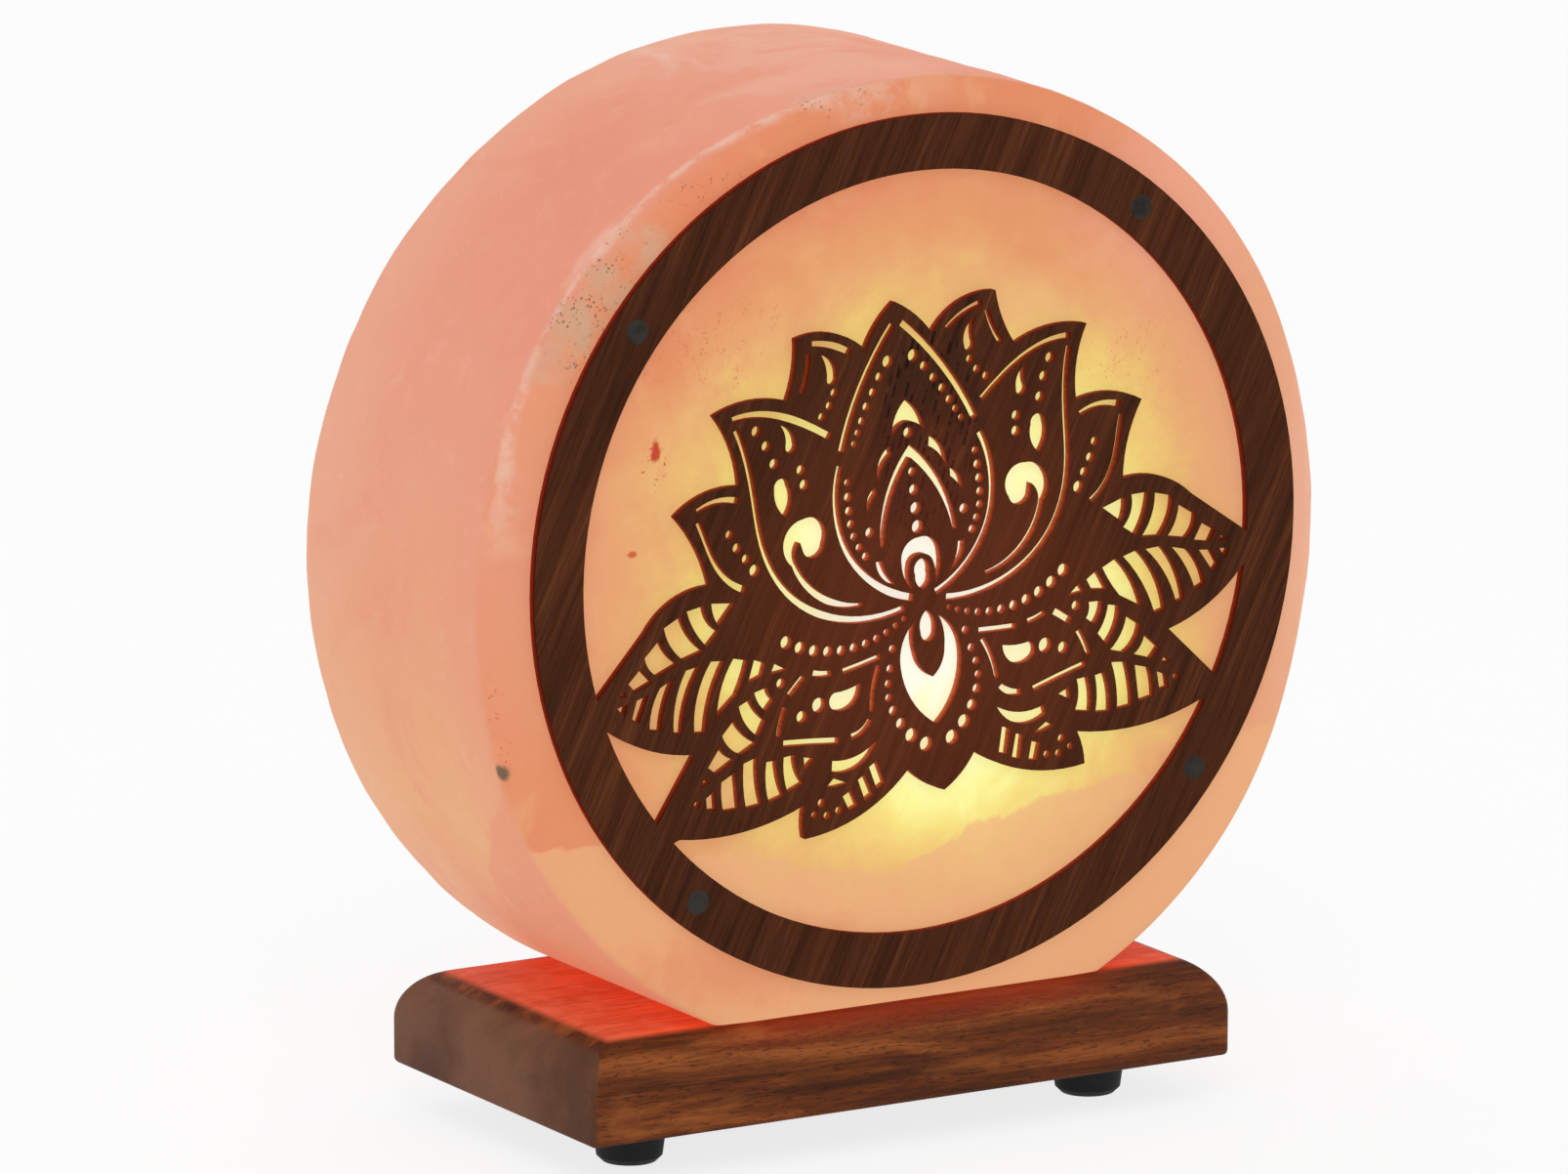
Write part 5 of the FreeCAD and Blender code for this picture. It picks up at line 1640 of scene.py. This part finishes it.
@dataclass
class Studio:
    """Camera, pale floor and soft light."""

    eye: Place = (-1.3356883, -2.2219727, 0.6740086)
    yaw: float = 0.5382087863
    pitch: float = 0.2145972849
    roll: float = 0.0014844196
    lens: float = 296.95
    film: float = 36.0
    floor_reach: float = 60.0
    sky: float = 0.82
    floor_white: float = 0.8
    key_power: float = 26.0
    key_place: Place = (-1.4, -2.2, 2.6)
    key_size: float = 1.6
    key_aim: Place = (0.0, 0.0, 0.1)
    nearest: float = 0.05
    farthest: float = 200.0

    def place_camera(self) -> None:
        """Stands the camera where the photograph was taken from."""
        Bench.clear()
        bpy.ops.object.camera_add()
        camera = bpy.context.object
        camera.name = "studio_camera"
        ahead = Vector(
            (
                math.sin(self.yaw) * math.cos(self.pitch),
                math.cos(self.yaw) * math.cos(self.pitch),
                -math.sin(self.pitch),
            )
        )
        level = Vector((math.cos(self.yaw), -math.sin(self.yaw), 0.0))
        above = level.cross(ahead)
        right = math.cos(self.roll) * level + math.sin(self.roll) * above
        up = -math.sin(self.roll) * level + math.cos(self.roll) * above
        axes = Matrix((right, up, -ahead)).transposed()
        camera.matrix_world = Matrix.Translation(self.eye) @ axes.to_4x4()
        camera.data.sensor_width = self.film
        camera.data.lens = self.lens
        camera.data.clip_start = self.nearest
        camera.data.clip_end = self.farthest
        bpy.context.scene.camera = camera

    def seen(self, s: Sheet) -> Signal:
        """Marks the rays that show a background: to the camera, in gloss and through glass.

        Args:
            s: The sheet.

        Returns:
            A signal, 1 for such rays and 0 for the others.
        """
        path = s.node("ShaderNodeLightPath")
        straight = Signal(s, path.outputs["Is Camera Ray"])
        gloss = Signal(s, path.outputs["Is Glossy Ray"])
        through = Signal(s, path.outputs["Is Transmission Ray"])
        return (straight + gloss + through).least(1.0)

    def lay_floor(self) -> None:
        """Lays a white floor that keeps the object's shadow."""
        Bench.clear()
        bpy.ops.mesh.primitive_plane_add(size=self.floor_reach)
        floor = bpy.context.object
        floor.name = "studio_floor"
        s = Sheet("white_floor")
        grain = s.noise(40, 2, 0.5)
        paint = s.mix(grain, tone(250, 250, 250), tone(252, 252, 252))
        matt = s.node("ShaderNodeBsdfDiffuse", None, {0: paint})
        white = s.node("ShaderNodeEmission", None, {0: WHITE, 1: 1.0})
        share = self.seen(s) * self.floor_white
        sockets = {0: share, 1: matt.outputs[0], 2: white.outputs[0]}
        blend = s.node("ShaderNodeMixShader", None, sockets)
        s.node("ShaderNodeOutputMaterial", None, {0: blend.outputs[0]})
        floor.data.materials.append(s.material)

    def light(self) -> None:
        """Hangs one large soft lamp and whitens the surroundings."""
        Bench.clear()
        bpy.ops.object.light_add(type="AREA", location=self.key_place)
        lamp = bpy.context.object
        lamp.name = "soft_lamp"
        lamp.data.shape = "DISK"
        lamp.data.size = self.key_size
        lamp.data.energy = self.key_power
        aim = Vector(self.key_aim) - Vector(self.key_place)
        lamp.rotation_mode = "QUATERNION"
        lamp.rotation_quaternion = aim.to_track_quat("-Z", "Y")
        world = bpy.data.worlds.new("white_room")
        bpy.context.scene.world = world
        world.use_nodes = True
        sheet = NodeSheet(world.node_tree)
        seen = sheet.node("ShaderNodeLightPath").outputs["Is Camera Ray"]
        room = sheet.node("ShaderNodeBackground", None, {0: WHITE, 1: self.sky}).outputs[0]
        backdrop = sheet.node("ShaderNodeBackground", None, {0: WHITE, 1: 1.0}).outputs[0]
        blend = sheet.node("ShaderNodeMixShader", None, {0: seen, 1: room, 2: backdrop})
        sheet.node("ShaderNodeOutputWorld", None, {0: blend.outputs[0]})

    def build(self) -> None:
        """Sets the studio up."""
        bpy.context.scene.view_settings.view_transform = "Standard"
        self.place_camera()
        self.lay_floor()
        self.light()


def main() -> None:
    """Builds the lamp's looks, sub-assembly by sub-assembly."""
    logging.basicConfig(level=logging.INFO, format="%(name)s: %(message)s")
    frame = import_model()
    shelf = FinishShelf()
    for kind in (FootBoard, SaltDrum, Fixings, LotusPanel, LampHolder, Bulb):
        for piece in kind(shelf, frame["nodes"]).build():
            log.info("%s: %s, %d faces", kind.__name__, piece.name, len(piece.data.polygons))
    Studio().build()


if __name__ == "__main__":
    main()
